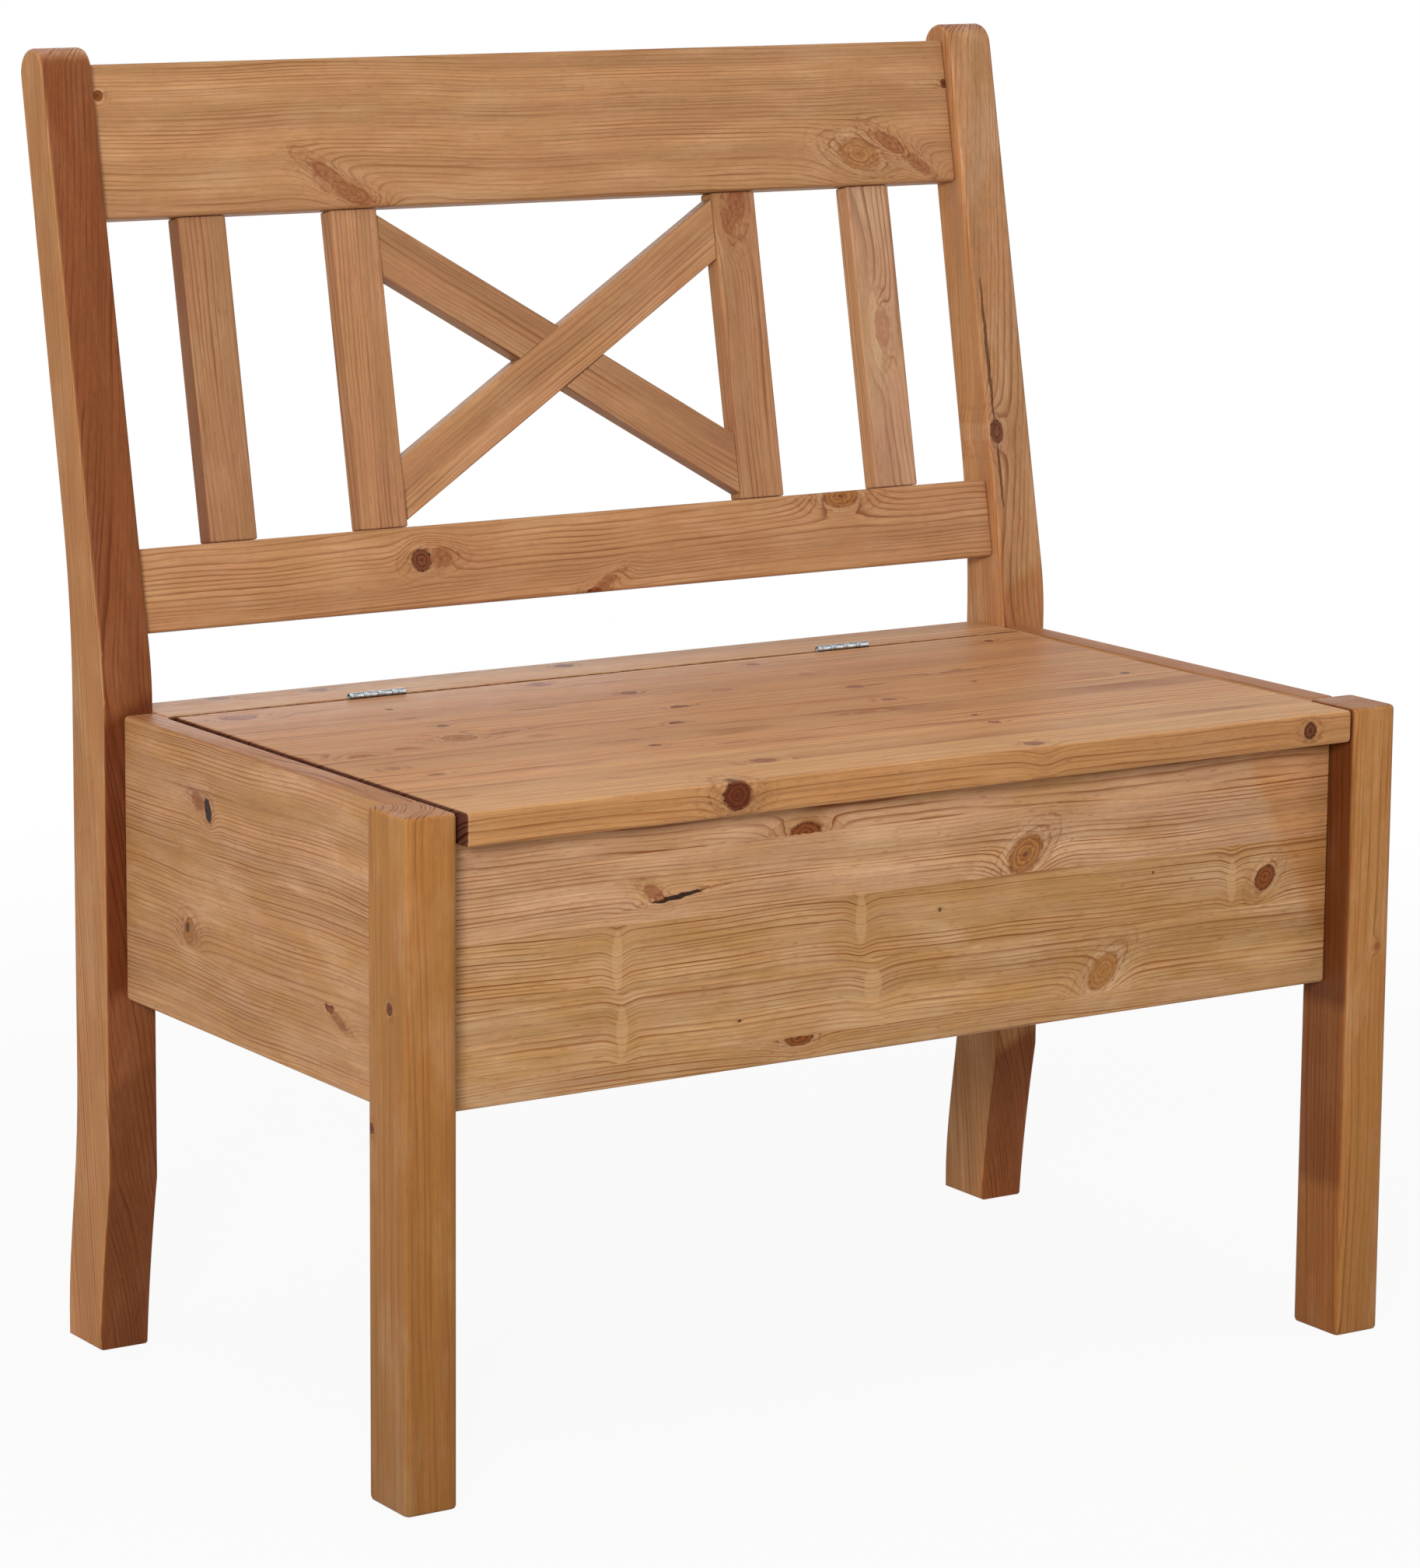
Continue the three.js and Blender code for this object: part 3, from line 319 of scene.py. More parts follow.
    # Where it took least the wood is paler, not only lighter; these pale patches are also painted sheen of
    # the lacquer
    thin_stain_and_sheen = add(tree, RANGE, {0: blotch["Fac"], 1: 0.48, 2: 0.68, 4: 0.4})
    thin_stain_and_sheen = add(tree, MATH, {0: thin_stain_and_sheen, 1: given["Clouds"]}, operation="MULTIPLY")
    thin_stain_and_sheen = add(tree, MATH, {0: marks[2], 1: 0.35, 2: thin_stain_and_sheen}, operation="MULTIPLY_ADD")
    wood = add(tree, MIX, {0: thin_stain_and_sheen, 6: wood, 7: colour(THIN_STAIN_AND_SHEEN)}, output=2, data_type="RGBA")
    shade = add(tree, RANGE, {0: blotch["Fac"], 1: 0.3, 2: 0.7, 3: -0.1, 4: 0.06})
    shade = add(tree, MATH, {0: shade, 1: given["Clouds"], 2: 1.0}, operation="MULTIPLY_ADD")
    # Each pattern darkens and lightens the wood between two shares
    shares = ((band, 0.91, 1.06), (mottle, 0.97, 1.03), (fibre, 0.88, 1.09), (streak, 0.93, 1.06))
    for pattern, dark, light in shares:
        share = add(tree, RANGE, {0: pattern, 1: 0.3, 2: 0.7, 3: dark, 4: light})
        shade = add(tree, MATH, {0: shade, 1: share}, operation="MULTIPLY")
    lift = add(tree, MATH, {0: marks[2], 1: 0.06, 2: given["Tone"]}, operation="MULTIPLY_ADD")
    lift = add(tree, MATH, {0: along, 1: given["Tone change"], 2: lift}, operation="MULTIPLY_ADD")
    shade = add(tree, MATH, {0: shade, 1: lift}, operation="MULTIPLY")
    wood = add(tree, VECTOR, {0: wood, "Scale": shade}, operation="SCALE")
    line = add(tree, MATH, {0: late, 1: canal}, operation="MAXIMUM")
    line = add(tree, MATH, {0: line, 1: given["Lines"]}, operation="MULTIPLY", use_clamp=True)
    wood = add(tree, MIX, {0: line, 6: wood, 7: given["Late"]}, output=2, data_type="RGBA")
    resin = add(tree, MATH, {0: marks[1], 1: 0.75}, operation="MULTIPLY")
    wood = add(tree, MIX, {0: resin, 6: wood, 7: colour(RESIN)}, output=2, data_type="RGBA")
    wood = add(tree, MIX, {0: marks[0], 6: wood, 7: given["Paint"]}, output=2, data_type="RGBA")
    gloss = add(tree, RANGE, {0: mottle, 1: 0.3, 2: 0.7, 3: 0.42, 4: 0.52})
    add(tree, "NodeGroupOutput", {"Colour": wood, "Roughness": gloss}, output=None)
    return tree


KNOT_GROUP = knot_group()
PINE_GROUP = pine_group()

# Kinds of knot: heart and rim colour, how far each covers, flare, pale ring and check
KNOTS = {
    "ringed": ("#ad7038", "#5c2c12", 0.8, 0.8, 0.95, 0.7, 1.0),
    "brown": ("#88491f", "#3c1a0a", 0.95, 0.95, 0.95, 0.8, 0.5),
    "tan": ("#ad7538", "#74401a", 0.7, 0.7, 0.85, 0.8, 0.3),
    "pale": ("#b07a48", "#6a3a1c", 0.6, 0.75, 0.9, 0.5, 0.7),
    "red": ("#74331b", "#361208", 0.95, 0.95, 1.0, 0.7, 0.5),
    "black": ("#7c4428", "#190a07", 0.95, 1.0, 0.9, 0.5, 0.6),
    "bark": ("#24130c", "#1a0d08", 0.95, 0.9, 0.8, 0.4, 0.0),
    "purple": ("#935640", "#522417", 0.75, 0.9, 0.75, 0.4, 0.4),
    "faint": ("#aa6b4b", "#74402a", 0.5, 0.6, 0.5, 0.2, 0.0),
    "streak": ("#8c4c2c", "#72381b", 0.6, 0.3, 0.6, 0.0, 0.0),
    "feather": ("#8f5030", "#6e3419", 0.5, 0.0, 1.0, 0.0, 1.0),
    # seam paints a thin dark line: on the lid and the rear board it is painted shadow of the gap between
    # them, on the right post a dark grain line
    "seam": ("#4e2814", "#4e2814", 0.8, 0.0, 0.0, 0.0, 0.0),
    "pin": ("#4c2a1c", "#3b1b11", 0.85, 0.5, 0.4, 0.0, 0.0),
    "wisp": ("#a9674f", "#a9674f", 0.35, 0.0, 0.5, 0.3, 0.0),
    # dip bends the lines round a pale band, partly grain and partly painted sheen
    "dip": ("#cfa777", "#c79c6a", 0.4, 0.0, 0.0, 0.0, 0.0),
}
# Width of a knot's rings in mm, drawn about twice as wide as they are so that they show
KNOT_RING_PITCH = 3.6
# How deep in mm a knot goes: through the board, or into it from its edge
THROUGH = 200
EDGE_KNOT_DEPTH = 25
# Past the end of any board, in mm
FAR = 9999.0
# The edge of a patch of stain, and of painted light and shade, fades over this many mm, and end grain
# drinks more of the stain
STAIN_AND_SHADE_FADE = 12
END_GRAIN_STAIN = (0.97, 1.03, 1.6)

# Woods under the honey stain: early wood, blushed early wood, late wood
WOODS = {
    "panel": ("#ba8c58", "#c69a75", "#7a3a12"),
    "seat": ("#cc9b68", "#ca8b5c", "#8a4c24"),
    "rail": ("#b78b5c", "#b7835c", "#773f1b"),
    "slat": ("#b3875a", "#b47d5c", "#743f1f"),
    "leg": ("#ac783e", "#ac7042", "#743d13"),
    "post": ("#b58350", "#b4774a", "#753e1b"),
    "inside": ("#d2a873", "#cfa076", "#a8743f"),
}


def board_frame(grain, face):
    """Rotation from a board's own frame, along the grain, across it and out of its face."""
    return Matrix((grain, face.cross(grain), face)).transposed().to_euler()


def pine(
    name, centre, grain, face, wood, seed, ring,
    pith=(-52, -44), spread=(50, 30), wander=14, lines=0.8, blush=0.5,
    tone=1.0, tone_change=0.0, clouds=0.5, staves=(), knots=(), edge_knots=(), stains=(),
):
    """
    Planed pine with a honey stain under satin lacquer: warm brown lines on tan, soft broad highlights.
    Places are in mm from the board's centre: across the grain and into the board for the pith, along
    and across the grain for knots. A knot has its kind, place, half sizes and turn, and one that comes
    out at an edge has its depth beside its place across.
    """
    material = new_material(name)
    tree = material.node_tree
    spot = add(tree, "ShaderNodeTexCoord", output=None)
    place = {"Vector": spot["Object"], "Location": centre, "Rotation": board_frame(grain, face)}
    place["Scale"] = (MM, MM, MM)
    place = add(tree, "ShaderNodeMapping", place, vector_type="TEXTURE")

    # Staves are listed from below: upper edge, blush, tone. Each glue line adds a step to their state,
    # which is the stave's middle, blush and tone
    across = add(tree, "ShaderNodeSeparateXYZ", {0: place}, output=1)
    staves = staves or [(FAR, blush, tone)]
    edges = [-FAR] + [s[0] for s in staves[:-1]] + [FAR]
    state, number = Vector((0, *staves[0][1:])), 0.0
    if len(staves) > 1:
        lows = [2 * edges[1] - edges[2]] + edges[1:-1]
        highs = edges[1:-1] + [2 * edges[-2] - edges[-3]]
        middles = [(low + high) / 2 for low, high in zip(lows, highs)]
        state = Vector((middles[0], *staves[0][1:]))
        for i, edge in enumerate(edges[1:-1], 1):
            above = add(tree, MATH, {0: across, 1: edge}, operation="GREATER_THAN")
            step = [staves[i][k] - staves[i - 1][k] for k in (1, 2)]
            step = (middles[i] - middles[i - 1], *step)
            state = add(tree, VECTOR, {0: step, 1: above, 2: state}, operation="MULTIPLY_ADD")
            number = add(tree, MATH, {0: number, 1: above}, operation="ADD")
    state = add(tree, "ShaderNodeSeparateXYZ", {0: state}, output=None)

    # Knots are a little ragged: their outline strays by about a mm
    rough = add(tree, VECTOR, {0: place, 1: (1 / 7, 1 / 7, 1 / 7)}, operation="MULTIPLY")
    rough = add(tree, NOISE, {"Vector": rough, "Scale": 1.0, "Detail": 2.0}, output="Color")
    rough = add(tree, VECTOR, {0: rough, 1: (0.5, 0.5, 0.5)}, operation="SUBTRACT")
    ragged = add(tree, VECTOR, {0: rough, 1: (2.6, 2.6, 2.6), 2: place}, operation="MULTIPLY_ADD")
    grit = add(tree, VECTOR, {0: place, 1: (1 / 4, 1 / 3, 1 / 3)}, operation="MULTIPLY")
    grit = add(tree, NOISE, {"Vector": grit, "Scale": 1.0, "Detail": 3.0})
    bend, paint, marks = (0, 0, 0), (0, 0, 0, 1), (0, 0, 0)
    listed = [(*k, False) for k in knots] + [(*k, True) for k in edge_knots]
    for kind, along, side, length, width, turn, on_edge in listed:
        heart, rim, *looks = KNOTS[kind]
        radius = math.sqrt(length * width)
        spot_across, depth = side if on_edge else (side, 0)
        # Rings part on both sides of a knot and bulge where it comes out, by shares of its radius
        pull, bulge = ((0, 0, -0.9), (0, 1.3, 0)) if on_edge else ((0, -0.9, 0), (0, 0, 1.3))
        if kind in ("dip", "seam"):
            pull, bulge = (0, 0, 0), (0, 0.5 if kind == "dip" else 0, 0)
        low = max(e for e in edges if e <= spot_across)
        high = min(e for e in edges if e > spot_across)
        knot = {
            "Place": ragged, "Bend": bend, "Paint": paint, "Marks": marks, "Grit": grit,
            "Centre": (along, spot_across, depth),
            "Half size": (length, EDGE_KNOT_DEPTH, width) if on_edge else (length, width, THROUGH),
            "Turn": -math.radians(turn), "Radius": radius, "Pull": pull, "Bulge": bulge,
            "Low": low, "High": high, "Heart": colour(heart), "Rim": colour(rim),
            "Rings": 2 * math.pi * radius / KNOT_RING_PITCH,
            **dict(zip(KNOT_LOOKS, looks)),
        }
        made = add(tree, "ShaderNodeGroup", knot, output=None, node_tree=KNOT_GROUP)
        ragged, bend, paint, marks = made["Place"], made["Bend"], made["Paint"], made["Marks"]

    # Growth rings show strongest on end grain
    end = add(tree, VECTOR, {0: spot["Normal"], 1: grain}, output=1, operation="DOT_PRODUCT")
    end = add(tree, MATH, {0: end}, operation="ABSOLUTE")
    end = add(tree, RANGE, {0: end, 1: 0.55, 2: 0.9})
    drawn = add(tree, MATH, {0: end, 1: 1.4, 2: lines}, operation="MULTIPLY_ADD")
    early, blushed, late = WOODS[wood]
    sawn = {
        "Place": place, "Bend": bend, "Marks": marks, "Paint": paint,
        "Stave": number, "Stave middle": state[0], "Blush share": state[1], "Tone": state[2],
        "Clouds": clouds, "Tone change": tone_change, "Seed": seed, "Ring width": ring, "Lines": drawn,
        "Pith": (0, *pith), "Wander": (0, wander, wander),
        "Pith spread": (0, *spread) if len(staves) > 1 else (0, 0, 0),
        "Early": colour(early), "Blush": colour(blushed), "Late": colour(late),
    }
    made = add(tree, "ShaderNodeGroup", sawn, output=None, node_tree=PINE_GROUP)
    shown = made["Colour"]

    stained = add(tree, VECTOR, {0: shown, 1: END_GRAIN_STAIN}, operation="MULTIPLY")
    shown = add(tree, MIX, {0: end, 6: shown, 7: stained}, output=2, data_type="RGBA")
    # Faces tinted otherwise. Some took the stain otherwise, and many carry painted light and shade: darker
    # where shadow falls in gaps and beside parts, lighter where the lamps reach too little.
    # Each gives the direction they face, what is left of red, green and blue, and where not all of the
    # face is tinted, from where to where along the grain, with slanting edges
    slanting = add(tree, VECTOR, {0: place, 1: (1, 0.5, 0)}, output=1, operation="DOT_PRODUCT")
    for direction, left, *reach in stains:
        facing = add(tree, VECTOR, {0: spot["Normal"], 1: direction}, output=1, operation="DOT_PRODUCT")
        facing = add(tree, RANGE, {0: facing, 1: 0.5, 2: 0.85})
        for limit, outward in zip(reach, (-STAIN_AND_SHADE_FADE, STAIN_AND_SHADE_FADE)):
            share = add(tree, RANGE, {0: slanting, 1: limit + outward, 2: limit})
            facing = add(tree, MATH, {0: facing, 1: share}, operation="MULTIPLY")
        # The tinted colour is stain or painted light and shade, as the entry is
        stained = add(tree, VECTOR, {0: shown, 1: left}, operation="MULTIPLY")
        shown = add(tree, MIX, {0: facing, 6: shown, 7: stained}, output=2, data_type="RGBA")

    # Planing leaves the fibres, drawn 1.2 mm wide so that they show, a hair proud under the lacquer
    fibre = add(tree, VECTOR, {0: place, 1: (1 / 50, 1 / 1.2, 1 / 1.2)}, operation="MULTIPLY")
    fibre = add(tree, NOISE, {"Vector": fibre, "Scale": 1.0, "Detail": 2.0})
    bump = add(tree, "ShaderNodeBump", {"Height": fibre, "Strength": 0.25, "Distance": 0.2 * MM})
    lacquer = {"Roughness": made["Roughness"], "IOR": 1.45, "Specular IOR Level": 0.12}
    surface = add(tree, "ShaderNodeBsdfPrincipled", {"Base Color": shown, **lacquer, "Normal": bump})
    add(tree, "ShaderNodeOutputMaterial", {"Surface": surface}, output=None)
    return material


# Corners closer than this are one, facets that turn by less are one, and edges that turn by more stay
TOUCHING = 0.01 * MM
FLAT = math.radians(0.4)
ARRIS = math.radians(50)

BODIES = {node: body for body, nodes in frame["record"]["behaviour"]["bodies"].items() for node in nodes}


def stand_for(piece, node):
    """The piece rides where the node rides and is shown in its place."""
    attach(piece, BODIES[node])
    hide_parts(node)


def dress(node, material):
    """A merged copy of a node's solid, with its facets smoothed over the arrises."""
    mesh = frame["nodes"][node].data.copy()
    shape = bmesh.new()
    shape.from_mesh(mesh)
    bmesh.ops.remove_doubles(shape, verts=shape.verts, dist=TOUCHING)
    bmesh.ops.dissolve_limit(shape, angle_limit=FLAT, verts=shape.verts, edges=shape.edges)
    for face in shape.faces:
        face.smooth = True
        face.material_index = 0
    shape.to_mesh(mesh)
    shape.free()
    mesh.set_sharp_from_angle(angle=ARRIS)
    mesh.materials.clear()
    mesh.materials.append(material)
    piece = bpy.data.objects.new(f"pine_{node}", mesh)
    bpy.context.scene.collection.objects.link(piece)
    weighted = piece.modifiers.new("even shading", "WEIGHTED_NORMAL")
    weighted.keep_sharp = True
    stand_for(piece, node)


def middle(node):
    """Middle of a node's box."""
    low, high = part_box(node)
    return (low + high) / 2


def board(node, grain, face, wood, name=None, **looks):
    """Dresses a node in pine, with its grain and its wide face in the given directions."""
    dress(node, pine(name or f"stained_pine_{node}", middle(node), grain, face, wood, **looks))


# Front of the chest: five staves, with knots that the glue lines cut
board(
    "front_panel", ALONG, FRONT, "panel",
    seed=3.0, ring=2.8, pith=(-74, -46), spread=(36, 30), wander=12, lines=1.1, clouds=0.9,
    # The tint is painted shade: the panel's right end is darkened as the shadow of the right leg
    stains=[(FRONT, (0.95, 0.82, 0.68), 355, FAR)],
    staves=[(-76, 0.3, 0.96), (-27, 0.1, 0.98), (20.5, 0.1, 0.97), (69, 0.75, 1.04), (FAR, 0.65, 0.97)],
    knots=[
        ("ringed", 103, 34, 17, 12, 40), ("brown", 324, -7, 10.5, 8, 45), ("tan", 175, -60.5, 16, 10, 45),
        ("brown", -88, 70, 13, 7, 0), ("brown", -92, -77, 12, 5.5, 0), ("bark", -194, 36, 21, 1.9, 7),
        ("streak", -214, 41, 9, 5, -30), ("dip", -243, -4, 4.5, 22, 0), ("dip", -239, -54, 5, 19, 0),
        ("dip", -40, 2, 5, 19, 0), ("dip", -29, -46, 8, 13, 0), ("dip", 293, -6, 4.5, 17, 0),
        ("pin", 28, 2, 1.4, 1.4, 0), ("pin", 219, 8, 1.0, 1.0, 0), ("pin", -142, -58, 1.2, 1.2, 0),
    ],
)

# Sides of the chest
board(
    "side_panel_left", DEEP, ALONG, "panel",
    seed=11.0, ring=2.8, pith=(-72, -48), spread=(40, 30), wander=15, lines=0.95, clouds=0.9,
    name="stained_pine_side_panel",
    staves=[(-48, 0.3, 1.05), (22, 0.15, 1.06), (FAR, 0.4, 1.06)],
    # The first tint is painted light: it lifts the outer face where the lamps reach it too little
    stains=[(-ALONG, (1.06, 1.0, 1.0)), (UP, (0.78, 0.62, 0.6))],
    knots=[
        ("bark", 63, 58, 5, 9, -20), ("streak", 78, 62, 10, 6, 20), ("tan", 93, -35.5, 8, 10, 20),
        ("pin", 95, -33, 3, 4, 30), ("red", -113, -50, 6, 4, 10), ("streak", -124, -56, 14, 4, 20),
    ],
)
board(
    "side_panel_right", DEEP, ALONG, "panel",
    seed=27.0, ring=3.8, wander=18, lines=0.85,
    staves=[(-30, 0.4, 1.0), (40, 0.6, 0.99), (FAR, 0.3, 1.0)],
    stains=[(UP, (0.85, 0.64, 0.56))],
    knots=[("brown", -60, 20, 9, 8, 10), ("red", 88, -58, 7, 8, 0), ("pin", 20, 70, 2, 2, 0)],
)
board(
    "back_panel", ALONG, FRONT, "panel",
    seed=41.0, ring=3.8, wander=16,
    staves=[(-60, 0.4, 1.0), (-8, 0.8, 0.98), (44, 0.3, 1.0), (FAR, 0.6, 0.99)],
    knots=[
        ("ringed", -210, 10, 11, 13, 15), ("brown", 60, -40, 9, 8, 0), ("red", 250, 66, 7, 7, 0),
        ("tan", -40, 60, 12, 10, -20),
    ],
)

# Lid and the fixed board behind it
board(
    "lid", ALONG, UP, "seat",
    seed=5.0, ring=4.2, pith=(-34, -52), spread=(36, 20), wander=10, lines=0.9, clouds=0.4,
    # Stave tones fall from the front to the rear as a painted gradient of light: the lid is drawn lighter
    # at its front
    staves=[
        (-160, 0.15, 1.08), (-107, 0.3, 1.06), (-54, 0.6, 1.0), (0, 0.5, 0.95), (54, 0.7, 0.92),
        (108, 0.6, 0.91), (160, 0.8, 0.88), (FAR, 0.6, 0.89),
    ],
    knots=[
        ("ringed", -244, 31, 13, 11.5, 0), ("streak", -205, 33, 16, 4, 8), ("ringed", -339, 0, 12, 11, 0),
        # The seam entry paints shadow: a dark line along the rear edge, where the gap to the rear board
        # lies in shade
        ("purple", -341, 183, 14, 10, 0), ("seam", 0, 208.4, 3000, 1.4, 0), ("pin", -230, 156, 3, 3, 0),
        ("streak", -237, 117, 8, 3, 0), ("black", -230, 78, 5, 4.2, 0), ("purple", -80, 192, 9, 8, 0),
        ("brown", -41, 126, 7, 6, 0), ("streak", -136, 107, 19, 4, 0), ("brown", -40, 56, 8, 7, 0),
        ("red", -78, 1, 7, 6, 0), ("streak", -110, -3, 12, 2, 0), ("streak", -145, -38, 13, 2, 0),
        ("brown", -139, -64, 5, 4, 0), ("streak", -83, -84, 12, 2, 0), ("purple", -105, -152, 10, 7, 0),
        ("faint", -343, -46, 6, 6, 0), ("streak", -328, -81, 7, 4, 0), ("faint", 27, 102, 9, 6, 0),
        ("purple", 109, 184, 5, 5, 0), ("faint", 120, 126, 8, 7, 0), ("purple", 120, 62, 8, 5, 0),
        ("streak", 140, 63, 12, 2, 5), ("purple", 111, 3, 6, 6, 0), ("streak", 65, -32, 12, 2, 0),
        ("pin", 212, 35, 2, 2, 0), ("pin", 128, -81, 3, 2.5, 0), ("purple", 123, -113, 5, 5, 0),
        ("purple", 97, -196, 8, 7, 0), ("black", 332, 182, 4, 4, 0), ("black", 334, 7, 4, 4, 0),
        ("streak", 229, 80, 20, 3, 6),
    ],
    edge_knots=[("red", -164.5, (-210, 2.6), 11.5, 10.5, 0), ("black", 340, (-210, 0.5), 6, 6.5, 0)],
    # The last two tints are painted shade: the left end is darkened as shadow in the slot by the leg, and
    # the rear arris as shadow in the seam
    stains=[(FRONT, (0.76, 0.7, 0.63)), (-ALONG, (0.22, 0.14, 0.12)), (DEEP, (0.25, 0.17, 0.14))],
)
board(
    "rear_seat_board", ALONG, UP, "seat",
    seed=15.0, ring=4.0, pith=(-50, -44), wander=8, tone=1.05, name="stained_pine_rear_board",
    knots=[
        # The seam entry paints the shadow of the gap in front of the board as a dark line
        ("seam", 0, -30.2, 3000, 1.7, 0), ("purple", -316, 20, 9, 6, 0), ("purple", -235, 14, 8, 6, 0),
        ("brown", -20, 12, 8, 6, 0),
    ],
    # Painted shade: the front arris is darkened as shadow in the seam, and the top is darkened against the
    # light of the lamps and the sheen on it
    stains=[(FRONT, (0.2, 0.14, 0.12)), (UP, (0.88, 0.9, 0.94))],
)

# Legs: straight grain that runs up them, a little darker towards the floor
board(
    "front_leg_left", UP, FRONT, "leg",
    seed=7.0, ring=4.6, pith=(52, -40), wander=6, lines=0.55, blush=0.3, tone_change=0.0007,
    stains=[(FRONT, (0.84, 0.8, 0.76))],
    edge_knots=[("black", 108, (20, 5), 4.2, 4, 0), ("black", 21, (20, -20), 4, 3.5, 0)],
)
board(
    "front_leg_right", UP, FRONT, "leg",
    seed=19.0, ring=3.0, pith=(-44, -48), wander=7, blush=0.4, tone_change=0.0004,
    # Painted shade: the inner face is darkened, most of all beside the panel, as shadow falling on it
    stains=[
        (-ALONG, (0.85, 0.72, 0.66)),
        (-ALONG, (0.7, 0.62, 0.58), -110, FAR),
        (-ALONG, (0.6, 0.52, 0.5), 29, FAR),
    ],
    knots=[("streak", 58, -9, 3.5, 3, 0)],
)

# Rear posts, each one sabre-cut plank
board(
    "rear_post_left", POST_GRAIN, POST_FACE, "post",
    seed=23.0, ring=2.6, pith=(70, -60), wander=3, blush=0.4,
    stains=[
        (FRONT, (0.49, 0.33, 0.295)),
        # Painted shade: the strip beside the side panel is darkened as shadow
        (FRONT, (0.66, 0.53, 0.5), -200, -5),
        (FRONT, (0.82, 0.82, 0.82), -FAR, -278),
        # Painted light: the left face is lifted where the lamps reach it too little
        (-ALONG, (1.16, 1.13, 1.1)),
    ],
)
board(
    "rear_post_right", POST_GRAIN, POST_FACE, "post",
    seed=31.0, ring=2.8, pith=(58, -50), wander=4, lines=0.85,
    stains=[
        (FRONT, (0.6, 0.42, 0.36), -FAR, -352),
        (FRONT, (0.92, 0.76, 0.66), -200, 30),
        # Painted light: the left face is lifted, though the bench keeps the lamps off it
        (-ALONG, (1.2, 1.25, 1.35)),
        (FRONT, (0.98, 1.08, 1.3), -225, FAR),
    ],
    knots=[
        ("black", 153, 12.5, 10, 6.5, 0), ("seam", 218, 14, 64, 1.7, 0), ("seam", 118, 13, 28, 1.4, 0),
    ],
)

# Rails of the back
board(
    "top_rail", ALONG, BACK_FRONT, "rail",
    seed=37.0, ring=2.6, pith=(-84, -44), wander=11, lines=0.85,
    knots=[
        ("pale", 291, -32, 19, 12, -18), ("feather", 322, -24, 17, 6, -30),
        ("feather", 348, -42, 14, 5, -35), ("feather", -192, -31, 17, 6, -35),
        ("feather", -172, -46, 17, 7, -25), ("black", 381, 22, 3.5, 3.5, 0), ("brown", -377, 34, 4, 4, 0),
    ],
)
board(
    "bottom_rail", ALONG, BACK_FRONT, "rail",
    seed=43.0, ring=2.6, pith=(58, -52), wander=9, blush=0.6, tone=1.05,
    knots=[
        ("black", -145, 5, 8.5, 8.5, 10), ("feather", -128, 6, 10, 7, 0), ("red", 5, -31, 7, 4, 0),
        ("feather", 14, -25, 14, 4, 25), ("ringed", 241, 27, 16, 9, 0),
    ],
)

# Slats: where the pith lies, tone, what is left of the colour on the left side and on the front, knots
SLATS = {
    "slat_outer_left": (44, 0.87, (0.74, 0.62, 0.56), (1, 1, 1), ()),
    "slat_inner_left": (-48, 1.0, (1.05, 0.98, 0.88), (1, 1, 1), ()),
    "slat_inner_right": (
        38, 0.98, (1.05, 0.98, 0.88), (1, 1, 1),
        [("feather", 112, -2, 15, 9, 0), ("feather", 98, 8, 12, 5, 10)],
    ),
    "slat_outer_right": (
        20, 1.08, (1.28, 1.3, 1.28), (1.0, 1.12, 1.32),
        [("dip", 4, 6, 34, 5, 0), ("wisp", 6, 0, 16, 7, 0)],
    ),
}
for place, (slat, (pith, tone, side, front, knots)) in enumerate(SLATS.items()):
    board(
        slat, BACK_UP, BACK_FRONT, "slat",
        seed=51.0 + 6 * place, ring=2.6, pith=(pith, -40), wander=9, lines=0.85, tone=tone,
        stains=[(-ALONG, side), (FRONT, front)],
        knots=knots,
    )

# The crossed brace
for brace, side, tone in (("brace_rising", 1, 1.0), ("brace_falling", -1, 0.87)):
    board(
        brace, math.cos(BRACE_ANGLE) * ALONG + side * math.sin(BRACE_ANGLE) * BACK_UP, BACK_FRONT, "slat",
        seed=71.0 + 5 * side, ring=2.6, pith=(46 * side, -40), wander=9, blush=0.45, tone=tone,
    )

# Inside of the chest: planed pine with thin lacquer, no stain
INSIDE = ["chest_floor", "floor_cleat_front", "floor_cleat_rear", "floor_cleat_left", "floor_cleat_right"]
INSIDE += ["lid_batten_left", "lid_batten_right"]
FLOOR_LOOKS = {
    "staves": [(-100, 0.3, 1.0), (0, 0.6, 0.98), (100, 0.4, 1.02), (FAR, 0.6, 1.0)],
    "knots": [("brown", 120, 40, 9, 8, 0)],
}
for place, node in enumerate(INSIDE):
    low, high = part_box(node)
    size = high - low
    board(
        node, ALONG if size.x > size.y else DEEP, UP, "inside", f"plain_pine_{node}",
        seed=80.0 + 4 * place, ring=4.0, blush=0.4, **(FLOOR_LOOKS if node == "chest_floor" else {}),
    )


